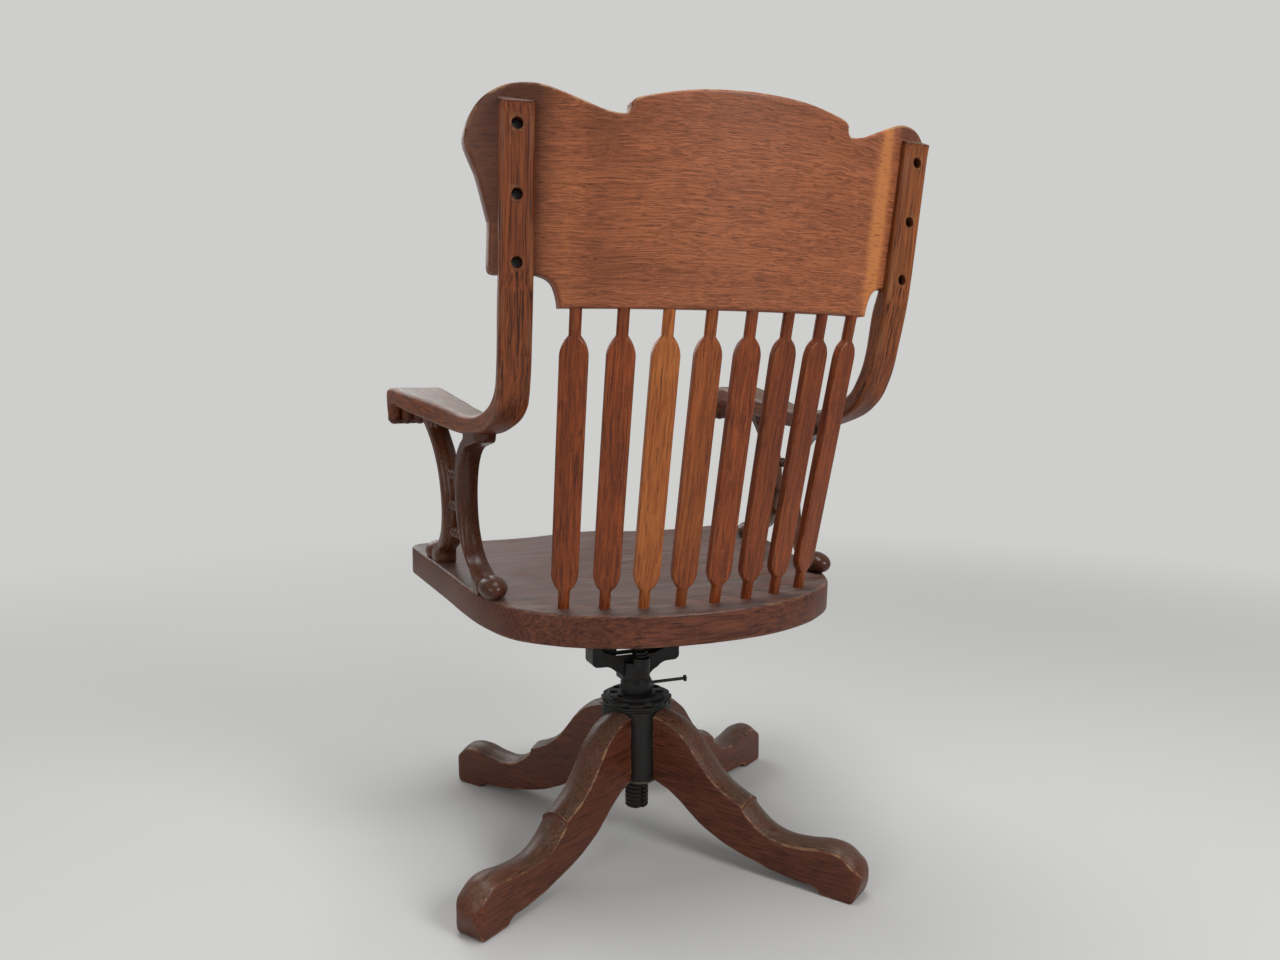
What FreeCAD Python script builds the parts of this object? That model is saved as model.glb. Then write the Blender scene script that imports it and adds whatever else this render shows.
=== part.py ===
# Swivel and tilt office armchair of bent and sawn oak on a four-legged base with an iron height screw.
# Units are millimetres. Z is up, the origin lies on the floor on the swivel axis, and the sitter faces -Y.
import FreeCAD, Part
import math
import os

V = FreeCAD.Vector

# Base
leg_count = 4
leg_turn = 33.7
leg_thick = 44
leg_reach = 368
leg_top = 200.0
leg_inner_underside = 97.0
leg_step_radius = 195.0
leg_step_height = 99.5
leg_step_drop = 5.5
leg_edge_round = 9
foot_corner_round = 13.0
foot_pad_length = 58.0
foot_height = 70.0

# Hub casting
hub_side = 88.0
hub_corner_round = 21.9
hub_flange_radius = 49.0
hub_flange_thick = 6.5
hub_land = 18.0
hub_cavity_radius = 31.0
bottom_plate_thick = 3.0
plate_screw_radius = 2.5
plate_screw_offset = 33.0
plate_screw_length = 14.0
leg_bolt_radius = 4.0
leg_bolt_head_radius = 7.0
leg_bolt_head_thick = 3.5
leg_bolt_length = 60.0
leg_bolt_low = 128.0
leg_bolt_high = 165.0

# Height screw, thrust ring and hand wheel
screw_radius = 17.6
screw_bottom = 41.0
screw_pitch = 6.35
thread_depth = 1.7
thread_length = 178.0
bearing_clearance = 0.15
keyway_width = 6.0
keyway_depth = 3.5
key_clearance = 0.25
ring_radius = 42.0
ring_thick = 3.0
face_clearance = 0.1
wheel_radius = 53.5
wheel_rim_thick = 5.8
wheel_skirt = 1.3
wheel_ring_radius = 43.0
wheel_height = 11.2
wheel_lobes = 9
wheel_scallop_radius = 9.0
wheel_scallop_depth = 6.5
wheel_pocket_radius = 6.0
wheel_pocket_place = 34.5
wheel_pocket_depth = 5.5

# Yoke
neck_radius = 24.0
neck_waist = 20.6
neck_drum = 15.2
neck_taper = 7.0
yoke_stand = 41.7
yoke_gap_above_wheel = 0.3
socket_depth = 42.0
yoke_half_width = 70
yoke_arm_thick = 14
yoke_depth = 34.0
yoke_rear = 2.0
rib_thick = 8.0
rib_rise = 13.5
rib_gap_half = 29.0
rib_fillet = 9.0
pivot_drop = 53.7
pivot_place = -15.0
pivot_radius = 7.0
pivot_clearance = 0.06
boss_radius = 14.0
rod_head_radius = 11.5
rod_head_thick = 7.0
shelf_radius = 12.5
shelf_thick = 14.0
spring_place = 22.0
stop_depth = 9
buffer_thick = 4.0

# Lock pin
pin_rise = 9.5
pin_radius = 2.4
pin_clearance = 0.06
pin_reach = 82.0
pin_tail = 20.0
pin_head_radius = 5.0
pin_head_thick = 2.6

# Tilt spring
spring_wire = 3.6
spring_radius = 7.4
spring_turns = 9.0
spring_seat_gap = 0.3
closing_rise = 4.5

# Seat
seat_slope = 0.06
seat_rear_height = 398.7
drawn_seat_height = 398.7
seat_rear_place = 219.0
seat_thick = 43
seat_back = 256.0
seat_front = -262.0
seat_corner_y = -246.0
seat_corner_x = 272.0
seat_side_front_x = 297.0
seat_side_front_y = -215.0
seat_shoulder_x = 254.0
seat_shoulder_y = 105.0
seat_hip_x = 185.0
seat_hip_y = 207.0
seat_top_round = 5.0
seat_bottom_round = 4.0
dish_depth = 13.0
dish_radius = 188.0
thigh_depth = 9.0
thigh_radius = 150.0
thigh_x = 128.0
thigh_y = -150.0

# Seat iron
iron_thick = 6.0
iron_half_x = 62.0
iron_half_y = 46.0
iron_arm_width = 26.0
iron_arm_x = 118.0
iron_arm_y = 112.0
ear_gap = 1.5
ear_thick = 12
web_thick = 6
web_tongue = 9.0
web_slot = 11.0
iron_screw_radius = 3.0
iron_screw_head = 6.0
iron_screw_length = 26.0
cup_wall = 2.5
cup_depth = 4.0

# Back spindles
spindle_count = 8
spindle_pitch_low = 48.5
spindle_pitch_high = 52.0
spindle_low_y = 218.9
spindle_high_y = 313.5
spindle_low_bow = 12.39
spindle_high_bow = 8.67
spindle_dowel_radius = 7.2
spindle_width = 34.0
spindle_thick = 13.0
spindle_foot = 25.0
spindle_neck = 27.0
spindle_shoulder = 24.0
spindle_edge_round = 2.5
dowel_seat_depth = 22.0
dowel_crest_depth = 16.0
dowel_fit = 0.05

# Crest
crest_foot = 765.0
crest_lean = 0.172
crest_thick = 19.0
crest_half_foot = 201
crest_half_side = 275.0

# Arm posts
post_x = 254.0
post_toe = 7.0
post_width = 38.0
post_thick = 23.0
post_back_high = 314.0
post_back_low = 292.0
post_hole_high = 953.0
post_hole_low = 812.0
post_hole_radius = 6.35
post_hole_depth = 12.0
crest_screw_radius = 2.5
crest_screw_head = 5.0
crest_screw_reach = 12.0
knuckle_count = 4
knuckle_groove = 5.0

# Arm supports
support_width = 29.0
support_centre = 253.5
support_toe = 0.096
support_lean = 0.04
support_base = 410.0
bead_radius = 7.5
bead_offset = 4.0
bead_heights = (473.0, 512.0, 556.0)
foot_screw_radius = 3.0
foot_screw_head = 6.0
foot_screw_bite = 14.0
arm_dowel_radius = 5.0
arm_dowel_half = 12.0


def box(x0, x1, y0, y1, z0, z1):
    return Part.makeBox(x1 - x0, y1 - y0, z1 - z0, V(x0, y0, z0))


def rod(start, axis, radius, length):
    return Part.makeCylinder(radius, length, start, axis)


def face(start, steps, to_space):
    """Closed face: a pair is a straight run, four numbers an arc, a list a smooth run."""
    edges = []
    here = to_space(*start)
    for step in steps + [tuple(start)]:
        if isinstance(step, list):
            points = [here] + [to_space(*p) for p in step]
            curve = Part.BSplineCurve()
            curve.interpolate(points)
            edges.append(curve.toShape())
            here = points[-1]
        elif len(step) == 4:
            end = to_space(step[2], step[3])
            edges.append(Part.Arc(here, to_space(step[0], step[1]), end).toShape())
            here = end
        else:
            end = to_space(*step)
            if (end - here).Length > 1e-6:
                edges.append(Part.LineSegment(here, end).toShape())
                here = end
    return Part.Face(Part.Wire(edges))


def in_yz(x):
    return lambda y, z: V(x, y, z)


def in_xz(y):
    return lambda x, z: V(x, y, z)


def in_xy(z):
    return lambda x, y: V(x, y, z)


def over_seat(to_space):
    """Heights above the seat are written for a seat as drawn, and rise with the real one."""
    return lambda a, b: to_space(a, b + arm_rise)


def spun(profile):
    return face(profile[0], profile[1:], in_xz(0)).revolve(V(0, 0, 0), V(0, 0, 1), 360)


def turned(shape, degrees):
    copy = shape.copy()
    copy.rotate(V(0, 0, 0), V(0, 0, 1), degrees)
    return copy


def mirrored(shape):
    return shape.mirror(V(0, 0, 0), V(1, 0, 0))


def rounded(shape, radius, chosen):
    """Fillet the chosen edges together, or one run after another where that fails."""
    edges = [e for e in shape.Edges if chosen(e)]
    try:
        result = shape.makeFillet(radius, edges)
        if result.isValid():
            return result
    except Exception:
        pass
    left = 0
    for old in edges:
        spot = old.valueAt((old.FirstParameter + old.LastParameter) / 2)
        near = [e for e in shape.Edges if e.distToShape(Part.Vertex(spot))[0] < 0.01
                and abs(e.Length - old.Length) < 0.2 * old.Length]
        try:
            result = shape.makeFillet(radius, near[:1])
            if result.isValid() and 0.9 < result.Volume / shape.Volume < 1:
                shape = result
                continue
        except Exception:
            pass
        left += 1
    print("edges left sharp:", left, "of", len(edges))
    return shape


def seat_plane(y):
    return seat_rear_height + seat_slope * (seat_rear_place - y)


def tipped(shape):
    """Turn a shape made level at the rear height so that it follows the seat's slope."""
    copy = shape.copy()
    pivot = V(0, seat_rear_place, seat_rear_height)
    copy.rotate(pivot, V(1, 0, 0), -math.degrees(math.atan(seat_slope)))
    return copy


def save(name, shape):
    solids = shape.Solids
    if len(solids) == 1:
        shape = solids[0]
    else:
        shape = Part.makeCompound(solids)
    if not shape.isValid():
        print("not valid:", name)
    shape.exportStep("parts/%s.step" % name)
    box_now = shape.optimalBoundingBox(False, False)
    print("%-24s %d solid(s) %9.0f mm3  x %.0f..%.0f y %.0f..%.0f z %.0f..%.0f" % (
        name, len(solids), shape.Volume, box_now.XMin, box_now.XMax,
        box_now.YMin, box_now.YMax, box_now.ZMin, box_now.ZMax))


# Levels that follow from the sizes above
hub_bottom = leg_inner_underside
flange_top = leg_top + hub_flange_thick
ring_top = flange_top + ring_thick
wheel_bottom = ring_top + face_clearance
wheel_top = wheel_bottom + wheel_height - wheel_skirt
neck_bottom = wheel_top + yoke_gap_above_wheel
neck_shoulder = neck_bottom + neck_drum
waist_height = neck_shoulder + neck_taper
pin_height = neck_bottom + pin_rise
yoke_underside = neck_bottom + yoke_stand
rib_top = yoke_underside + rib_rise
rib_shoulder = rib_top + rib_fillet
shelf_top = rib_top + 1
screw_top = neck_bottom + socket_depth
pivot_height = seat_rear_height - pivot_drop
arm_rise = seat_rear_height - drawn_seat_height
crest_radius = 100.0 ** 2 / (2 * spindle_high_bow)
crest_upright = math.sqrt(1 + crest_lean ** 2)
bearing_radius = screw_radius + bearing_clearance
plate_under = seat_thick + iron_thick


def leg():
    """One leg lying along +X from the hub face to the foot."""
    half = leg_thick / 2
    near = hub_side / 2
    side = lambda r, z: V(r, -half, z)
    up = foot_height
    pad = leg_reach - foot_pad_length
    step = leg_step_radius
    step_low = leg_step_height - leg_step_drop
    inner = face((near, leg_inner_underside), [
        (near, leg_top), (near + 8, leg_top),
        [(72, leg_top - 6), (86, leg_top - 13), (104, leg_top - 28), (121, leg_top - 49),
         (139, leg_top - 69), (158, leg_top - 84), (178, leg_top - 94), (step, leg_step_height)],
        (step, 23), [(161, 33), (127, 49), (93, 74), (70, 88)]], side)
    foot = leg_reach - step
    along = lambda share, z: (step + foot * share, z)
    inner = inner.extrude(V(0, leg_thick, 0))
    outer = face((step, 23), [
        (step, step_low),
        [along(0.07, 83), along(0.15, up + 3), along(0.25, up - 4), along(0.375, up - 7),
         along(0.525, up - 5), along(0.68, up), along(0.80, up), along(0.90, up - 7.3),
         along(0.96, up - 18), (leg_reach, up - 34)],
        [(leg_reach - 2, 22), (leg_reach - 8, 5)], (leg_reach - 9.5, 1.5, leg_reach - 13, 0),
        (pad + 4, 0), (pad - 6, 9), [along(0.52, 9), along(0.32, 12), along(0.13, 18)]], side)
    outer = outer.extrude(V(0, leg_thick, 0))

    def top_edge(e):
        b = e.BoundBox
        on_side = abs(abs(b.Center.y) - half) < 0.01
        return on_side and b.XLength > 90 and b.ZMax > foot_height - 3

    inner = rounded(inner, leg_edge_round, top_edge)
    outer = rounded(outer, leg_edge_round, top_edge)
    r = foot_corner_round
    tip = leg_reach + 0.4
    cut = r * (1 - math.sqrt(0.5))
    plan = face((step - 5, -half), [
        (tip - r, -half), (tip - cut, -half + cut, tip, -half + r), (tip, half - r),
        (tip - cut, half - cut, tip - r, half), (step - 5, half)], in_xy(-5))
    outer = outer.common(plan.extrude(V(0, 0, 130)))
    return inner.fuse(outer).removeSplitter()


def leg_bolts():
    pieces = []
    for i in range(leg_count):
        for height in (leg_bolt_low, leg_bolt_high):
            start = hub_cavity_radius
            shank = rod(V(start, 0, height), V(1, 0, 0), leg_bolt_radius, leg_bolt_length)
            head = rod(V(start - leg_bolt_head_thick, 0, height), V(1, 0, 0),
                       leg_bolt_head_radius, leg_bolt_head_thick)
            pieces.append(turned(shank.fuse(head), leg_turn + 90 * i))
    return pieces


def hub(bolts):
    half = hub_side / 2
    column = box(-half, half, -half, half, hub_bottom, leg_top)
    upright = lambda e: e.BoundBox.ZLength > 50
    column = rounded(column, hub_corner_round, upright)
    column = turned(column, leg_turn)
    body = column.fuse(rod(V(0, 0, leg_top), V(0, 0, 1), hub_flange_radius, hub_flange_thick))
    lip = hub_flange_radius - 1.5
    groove = rod(V(0, 0, leg_top + 2.4), V(0, 0, 1), hub_flange_radius + 2, 1.6)
    groove = groove.cut(rod(V(0, 0, leg_top + 2.0), V(0, 0, 1), lip, 2.4))
    body = body.cut(groove)
    body = body.cut(rod(V(0, 0, hub_bottom - 1), V(0, 0, 1), bearing_radius, 200))
    cavity_top = flange_top - hub_land
    cavity = rod(V(0, 0, hub_bottom + hub_land), V(0, 0, 1), hub_cavity_radius,
                 cavity_top - hub_bottom - hub_land)
    body = body.cut(cavity)
    for bolt in bolts:
        body = body.cut(bolt)
    for screw in plate_screws():
        body = body.cut(screw)
    return body


def plate_screws():
    pieces = []
    under = hub_bottom - bottom_plate_thick
    for i in range(4):
        place = V(plate_screw_offset, plate_screw_offset, under - 1.4)
        shank = rod(place, V(0, 0, 1), plate_screw_radius, plate_screw_length)
        head = rod(place, V(0, 0, 1), plate_screw_radius * 1.9, 1.4)
        pieces.append(turned(shank.fuse(head), leg_turn + 90 * i))
    return pieces


def bottom_plate():
    half = hub_side / 2
    under = hub_bottom - bottom_plate_thick
    plate = box(-half, half, -half, half, under, hub_bottom)
    plate = rounded(plate, hub_corner_round, lambda e: e.BoundBox.ZLength > 2)
    plate = turned(plate, leg_turn)
    plate = plate.cut(rod(V(0, 0, under - 1), V(0, 0, 1), bearing_radius + 1, 10))
    for screw in plate_screws():
        plate = plate.cut(screw)
    return plate


def height_screw():
    body = rod(V(0, 0, screw_bottom), V(0, 0, 1), screw_radius, screw_top - screw_bottom)
    grooves = int(thread_length / screw_pitch)
    root = screw_radius - thread_depth
    for i in range(grooves):
        low = screw_bottom + 3.5 + i * screw_pitch
        profile = face((screw_radius + 1, low - 0.6), [
            (screw_radius + 1, low + 3.8), (root, low + 2.4), (root, low + 0.8)], in_xz(0))
        body = body.cut(profile.revolve(V(0, 0, 0), V(0, 0, 1), 360))
    half = keyway_width / 2
    way = box(-half, half, screw_radius - keyway_depth, screw_radius + 2,
              screw_bottom - 1, neck_bottom - 1)
    body = body.cut(way)
    body = body.cut(pin_hole())
    tip = screw_radius - 1.5
    chamfer = rod(V(0, 0, screw_bottom - 1), V(0, 0, 1), screw_radius + 3, 2.5)
    cone = Part.makeCone(tip, screw_radius, 1.5, V(0, 0, screw_bottom), V(0, 0, 1))
    chamfer = chamfer.cut(cone)
    return body.cut(chamfer)


def thrust_ring():
    ring = rod(V(0, 0, flange_top), V(0, 0, 1), ring_radius, ring_thick)
    ring = ring.cut(rod(V(0, 0, flange_top - 1), V(0, 0, 1), bearing_radius, ring_thick + 2))
    half = keyway_width / 2 - key_clearance
    reach = screw_radius - keyway_depth + key_clearance
    key = box(-half, half, reach, screw_radius + 3, flange_top, ring_top)
    return ring.fuse(key).removeSplitter()


def hand_wheel():
    skirt = wheel_bottom - wheel_skirt
    rim_top = skirt + wheel_rim_thick
    bore = bearing_radius
    inside = ring_radius + 1.5
    profile = [(bore, wheel_bottom), (inside, wheel_bottom), (inside, skirt),
               (wheel_radius - 1.5, skirt), (wheel_radius, skirt + 1.5),
               (wheel_radius, rim_top - 1.5), (wheel_radius - 1.5, rim_top),
               (wheel_ring_radius + 1, rim_top), (wheel_ring_radius, rim_top + 1),
               (wheel_ring_radius, wheel_top - 1), (wheel_ring_radius - 1, wheel_top),
               (bore, wheel_top)]
    wheel = spun(profile)
    for i in range(wheel_lobes):
        angle = math.radians(360.0 * i / wheel_lobes + 9)
        reach = wheel_radius + wheel_scallop_radius - wheel_scallop_depth
        place = V(reach * math.cos(angle), reach * math.sin(angle), skirt - 1)
        wheel = wheel.cut(rod(place, V(0, 0, 1), wheel_scallop_radius, wheel_rim_thick + 3))
        angle += math.pi / wheel_lobes
        place = V(wheel_pocket_place * math.cos(angle), wheel_pocket_place * math.sin(angle),
                  wheel_top - wheel_pocket_depth)
        wheel = wheel.cut(rod(place, V(0, 0, 1), wheel_pocket_radius, wheel_pocket_depth + 3))
    return wheel


def pin_hole():
    return rod(V(-pin_reach, 0, pin_height), V(1, 0, 0), pin_radius + pin_clearance,
               pin_reach + pin_tail + 30)


def lock_pin():
    shank = rod(V(-pin_reach, 0, pin_height), V(1, 0, 0), pin_radius, pin_reach + pin_tail)
    head = rod(V(-pin_reach, 0, pin_height), V(1, 0, 0), pin_head_radius, pin_head_thick)
    return shank.fuse(head)


def yoke():
    """Fork on the stem: round neck, thin rear rib, two arms to the pivot, spring shelf behind."""
    half = yoke_half_width
    arm = half - yoke_arm_thick
    waist = neck_waist
    top = pivot_height
    rear = yoke_rear
    outline = face((-waist, waist_height - 6), [
        (-waist, waist_height), (-26, waist_height + 6.5, -34, waist_height + 11),
        (-40, waist_height + 16, -47, yoke_underside - 0.5),
        (-half + 8, yoke_underside), (-half + 2.4, yoke_underside + 2.4, -half, yoke_underside + 9),
        (-half, top), (-arm, top), (-arm, rib_shoulder + 6),
        (-arm + 2.4, rib_shoulder + 1, -arm + 8, rib_shoulder - 2), (-rib_gap_half, rib_top),
        (rib_gap_half, rib_top), (arm - 8, rib_shoulder - 2),
        (arm - 2.4, rib_shoulder + 1, arm, rib_shoulder + 6),
        (arm, top), (half, top), (half, yoke_underside + 9),
        (half - 2.4, yoke_underside + 2.4, half - 8, yoke_underside),
        (47, yoke_underside - 0.5), (40, waist_height + 16, 34, waist_height + 11),
        (26, waist_height + 6.5, waist, waist_height), (waist, waist_height - 6)],
        in_xz(rear))
    body = outline.extrude(V(0, -yoke_depth, 0))
    body = body.cut(box(-arm, arm, rear - 60, rear - rib_thick, yoke_underside + 1, 500))
    for side in (-1, 1):
        start = V(side * half if side < 0 else arm, pivot_place, pivot_height)
        body = body.fuse(rod(start, V(1, 0, 0), yoke_depth / 2, yoke_arm_thick))
        low, high = sorted((side * arm, side * half))
        lug = box(low, high, rear - yoke_depth, rear - yoke_depth + stop_depth,
                  pivot_height - 5, pivot_height + 75)
        body = body.fuse(lug.cut(above_level(plate_under + buffer_thick)))
    body = body.fuse(spun([(0, neck_bottom), (neck_radius, neck_bottom),
                           (neck_radius, neck_shoulder), (waist, waist_height),
                           (waist, screw_top + 4), (0, screw_top + 4)]))
    shelf_low = shelf_top - shelf_thick
    body = body.fuse(rod(V(0, spring_place, shelf_low), V(0, 0, 1), shelf_radius, shelf_thick))
    body = body.cut(rod(V(0, 0, neck_bottom - 1), V(0, 0, 1), screw_radius,
                        screw_top - neck_bottom + 1))
    body = body.cut(pin_hole())
    bore = pivot_radius + pivot_clearance
    body = body.cut(rod(V(-half - 5, pivot_place, pivot_height), V(1, 0, 0), bore,
                        2 * half + 10))
    return body.removeSplitter()


def above_level(depth):
    """A big block that covers everything above the level this far under the seat's top plane."""
    block = box(-500, 500, -600, 600, seat_rear_height - depth, seat_rear_height + 700)
    return tipped(block)


def stop_buffers():
    pieces = []
    arm = yoke_half_width - yoke_arm_thick
    front = yoke_rear - yoke_depth
    for side in (-1, 1):
        low, high = sorted((side * arm, side * yoke_half_width))
        block = box(low, high, front, front + stop_depth, pivot_height - 45, pivot_height + 75)
        block = block.cut(above_level(plate_under))
        pieces.append(block.common(above_level(plate_under + buffer_thick)))
    return pieces


def pivot_rod():
    half = yoke_half_width
    shank = rod(V(-half - 12, pivot_place, pivot_height), V(1, 0, 0), pivot_radius, 2 * half + 14)
    head = rod(V(half, pivot_place, pivot_height), V(1, 0, 0), rod_head_radius, rod_head_thick)
    return shank.fuse(head).removeSplitter()


def pivot_nut():
    points = []
    for i in range(6):
        a = math.radians(60 * i)
        points.append(V(-yoke_half_width, pivot_place + rod_head_radius * math.cos(a),
                        pivot_height + rod_head_radius * math.sin(a)))
    nut = Part.Face(Part.makePolygon(points + points[:1])).extrude(V(-rod_head_thick, 0, 0))
    start = V(-yoke_half_width - 20, pivot_place, pivot_height)
    return nut.cut(rod(start, V(1, 0, 0), pivot_radius, 40))


def seat_iron():
    """Iron plate under the seat with four arms, two ears on the pivot and a cup for the spring."""
    level = seat_rear_height - plate_under
    top = seat_rear_height - seat_thick
    plate = box(-iron_half_x, iron_half_x, -iron_half_y, iron_half_y, level, top)
    for sx in (-1, 1):
        for sy in (-1, 1):
            start = V(sx * 30, sy * 25, level)
            end = V(sx * iron_arm_x, sy * iron_arm_y, level)
            run = end - start
            run.normalize()
            across = V(-run.y, run.x, 0) * (iron_arm_width / 2)
            corners = [start + across, end + across, end - across, start - across]
            arm = Part.Face(Part.makePolygon(corners + corners[:1])).extrude(V(0, 0, iron_thick))
            tip = rod(end, V(0, 0, 1), iron_arm_width / 2, iron_thick)
            plate = plate.fuse(arm).fuse(tip)
    cup = rod(V(0, spring_place, level - cup_depth), V(0, 0, 1),
              spring_radius + spring_wire / 2 + 0.8 + cup_wall, cup_depth)
    cup = cup.cut(rod(V(0, spring_place, level - cup_depth), V(0, 0, 1),
                      spring_radius + spring_wire / 2 + 0.8, cup_depth))
    plate = tipped(plate.fuse(cup))
    inside = yoke_half_width - yoke_arm_thick - ear_gap
    back = pivot_place + boss_radius
    front = pivot_place - boss_radius
    for side in (-1, 1):
        low, high = sorted((side * (inside - ear_thick), side * inside))
        ear = box(low, high, front, back, pivot_height, pivot_height + 75)
        ear = ear.cut(above_level(plate_under - 1))
        round_end = rod(V(low, pivot_place, pivot_height), V(1, 0, 0), boss_radius, ear_thick)
        plate = plate.fuse(ear).fuse(round_end)
    near = pivot_place - web_thick / 2
    far = pivot_place + web_thick / 2
    web = box(-inside, inside, near, far, rib_top - 1, pivot_height + 75)
    web = web.fuse(box(-inside, 0, near, far, rib_top - web_tongue, rib_top))
    web = web.cut(box(1, rib_gap_half - 2, near - 1, far + 1, rib_top + 4, rib_top + web_slot))
    plate = plate.fuse(web.cut(above_level(plate_under - 1)))
    bore = pivot_radius + pivot_clearance
    plate = plate.cut(rod(V(-90, pivot_place, pivot_height), V(1, 0, 0), bore, 180))
    for screw in iron_screws():
        plate = plate.cut(screw)
    return plate.removeSplitter()


def iron_screws():
    pieces = []
    level = seat_rear_height - plate_under
    for sx in (-1, 1):
        for sy in (-1, 1):
            place = V(sx * iron_arm_x, sy * iron_arm_y, level)
            shank = rod(place, V(0, 0, 1), iron_screw_radius, iron_screw_length)
            head = Part.makeCone(iron_screw_head, iron_screw_radius, 3.2, place, V(0, 0, 1))
            pieces.append(tipped(shank.fuse(head)))
    return pieces


def arc_join(p0, t0, p1, t1):
    """Two circular arcs from p0 to p1 that keep the end directions t0 and t1."""
    run = p1 - p0
    both = t0 + t1
    a = 2 - 2 * t0.dot(t1)
    b = run.dot(both)
    c = run.dot(run)
    if abs(a) < 1e-9:
        d = c / (2 * b)
    else:
        d = (-b + math.sqrt(b * b + a * c)) / a
    q0 = p0 + t0 * d
    q1 = p1 - t1 * d
    joint = (q0 + q1) * 0.5
    edges = []
    for start, corner, end in ((p0, q0, joint), (joint, q1, p1)):
        middle = (start + end) * 0.5
        lift = corner - middle
        half_chord = (end - start).Length / 2
        turn = math.atan2(lift.Length, half_chord)
        sagitta = half_chord * math.tan(turn / 2)
        lift.normalize()
        edges.append(Part.Arc(start, middle + lift * sagitta, end).toShape())
    return edges


def tilt_spring():
    """Round wire coil standing on the yoke's shelf, with one close turn at each end."""
    wire = spring_wire / 2
    base = shelf_top + wire + spring_seat_gap
    roof = seat_plane(spring_place) - plate_under - wire - 2.0
    total = spring_turns + 2
    rise = (roof - base - 2 * closing_rise) / spring_turns
    heights = []
    quarters = int(total * 4)
    height = base
    for i in range(quarters + 1):
        heights.append(height)
        closing = i < 4 or i >= quarters - 4
        height += (closing_rise if closing else rise) / 4.0
    points = []
    for i in range(quarters + 1):
        a = math.pi / 2 * i
        points.append(V(spring_radius * math.cos(a), spring_place + spring_radius * math.sin(a),
                        heights[i]))
    edges = []
    for i in range(quarters):
        a0 = math.pi / 2 * i
        a1 = a0 + math.pi / 2
        before = heights[i] - heights[max(i - 1, 0)]
        here = heights[i + 1] - heights[i]
        after = heights[min(i + 2, quarters)] - heights[i + 1]
        arc = spring_radius * math.pi / 2
        slope0 = (before + here) / 2 / arc if i > 0 else here / arc
        slope1 = (here + after) / 2 / arc if i < quarters - 1 else here / arc
        t0 = V(-math.sin(a0), math.cos(a0), slope0)
        t1 = V(-math.sin(a1), math.cos(a1), slope1)
        t0.normalize()
        t1.normalize()
        edges += arc_join(points[i], t0, points[i + 1], t1)
    path = Part.Wire(edges)
    start = V(0, 1, (heights[1] - heights[0]) / (spring_radius * math.pi / 2))
    ring = Part.Wire([Part.makeCircle(wire, points[0], start)])
    coil = path.makePipeShell([ring], True, False)
    print("tilt spring: least gap between turns %.2f mm" % turn_gap(edges))
    return coil


def turn_gap(edges):
    """Least clear distance between turns, measured on points along the wire's middle line."""
    spots = []
    for edge in edges:
        for k in range(12):
            share = k / 12.0
            spots.append(edge.valueAt(edge.FirstParameter
                                      + (edge.LastParameter - edge.FirstParameter) * share))
    per_turn = 4 * 2 * 12
    least = 1000.0
    for i, spot in enumerate(spots):
        for other in spots[i + per_turn // 2:i + per_turn * 3 // 2]:
            least = min(least, (other - spot).Length)
    return least - spring_wire


def seat_outline(level):
    back, front = seat_back, seat_front
    right = [
        (100, 245, seat_hip_x, seat_hip_y), (230, 165, seat_shoulder_x, seat_shoulder_y),
        (275, -40, seat_side_front_x, seat_side_front_y),
        (seat_side_front_x - 7, seat_corner_y + 8, seat_corner_x, seat_corner_y),
        (140, front + 4, 0, front),
        (-140, front + 4, -seat_corner_x, seat_corner_y),
        (-seat_side_front_x + 7, seat_corner_y + 8, -seat_side_front_x, seat_side_front_y),
        (-275, -40, -seat_shoulder_x, seat_shoulder_y), (-230, 165, -seat_hip_x, seat_hip_y),
        (-100, 245, 0, back)]
    return face((0, back), right, in_xy(level))


def seat():
    top = seat_rear_height
    blank = seat_outline(top - seat_thick).extrude(V(0, 0, seat_thick))
    flat_rim = lambda z: lambda e: abs(e.BoundBox.ZMin - z) < 0.01 and e.BoundBox.ZLength < 0.01
    blank = rounded(blank, seat_top_round, flat_rim(top))
    blank = rounded(blank, seat_bottom_round, flat_rim(top - seat_thick))
    big = (dish_radius ** 2 + dish_depth ** 2) / (2 * dish_depth)
    dish = Part.makeSphere(big, V(0, -12, top + big - dish_depth))
    blank = blank.cut(dish)
    small = (thigh_radius ** 2 + thigh_depth ** 2) / (2 * thigh_depth)
    for side in (-1, 1):
        scoop = Part.makeSphere(small, V(side * thigh_x, thigh_y, top + small - thigh_depth))
        blank = blank.cut(scoop)
    body = tipped(blank)
    for i in range(spindle_count):
        low, high = spindle_ends(i)
        body = body.cut(rod(low, (high - low), spindle_dowel_radius + dowel_fit, 60))
    for screw in iron_screws() + foot_screws():
        body = body.cut(screw)
    return body


def spindle_ends(i):
    place = i - (spindle_count - 1) / 2.0
    x0 = place * spindle_pitch_low
    x1 = place * spindle_pitch_high
    y0 = spindle_low_y - spindle_low_bow * (x0 / 100.0) ** 2
    y1 = spindle_high_y - (crest_radius - math.sqrt(crest_radius ** 2 - x1 ** 2)) * crest_upright
    low = V(x0, y0, seat_plane(y0))
    high = V(x1, y1, crest_foot + arm_rise)
    run = high - low
    run.normalize()
    return low - run * dowel_seat_depth, high + run * dowel_crest_depth


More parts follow.
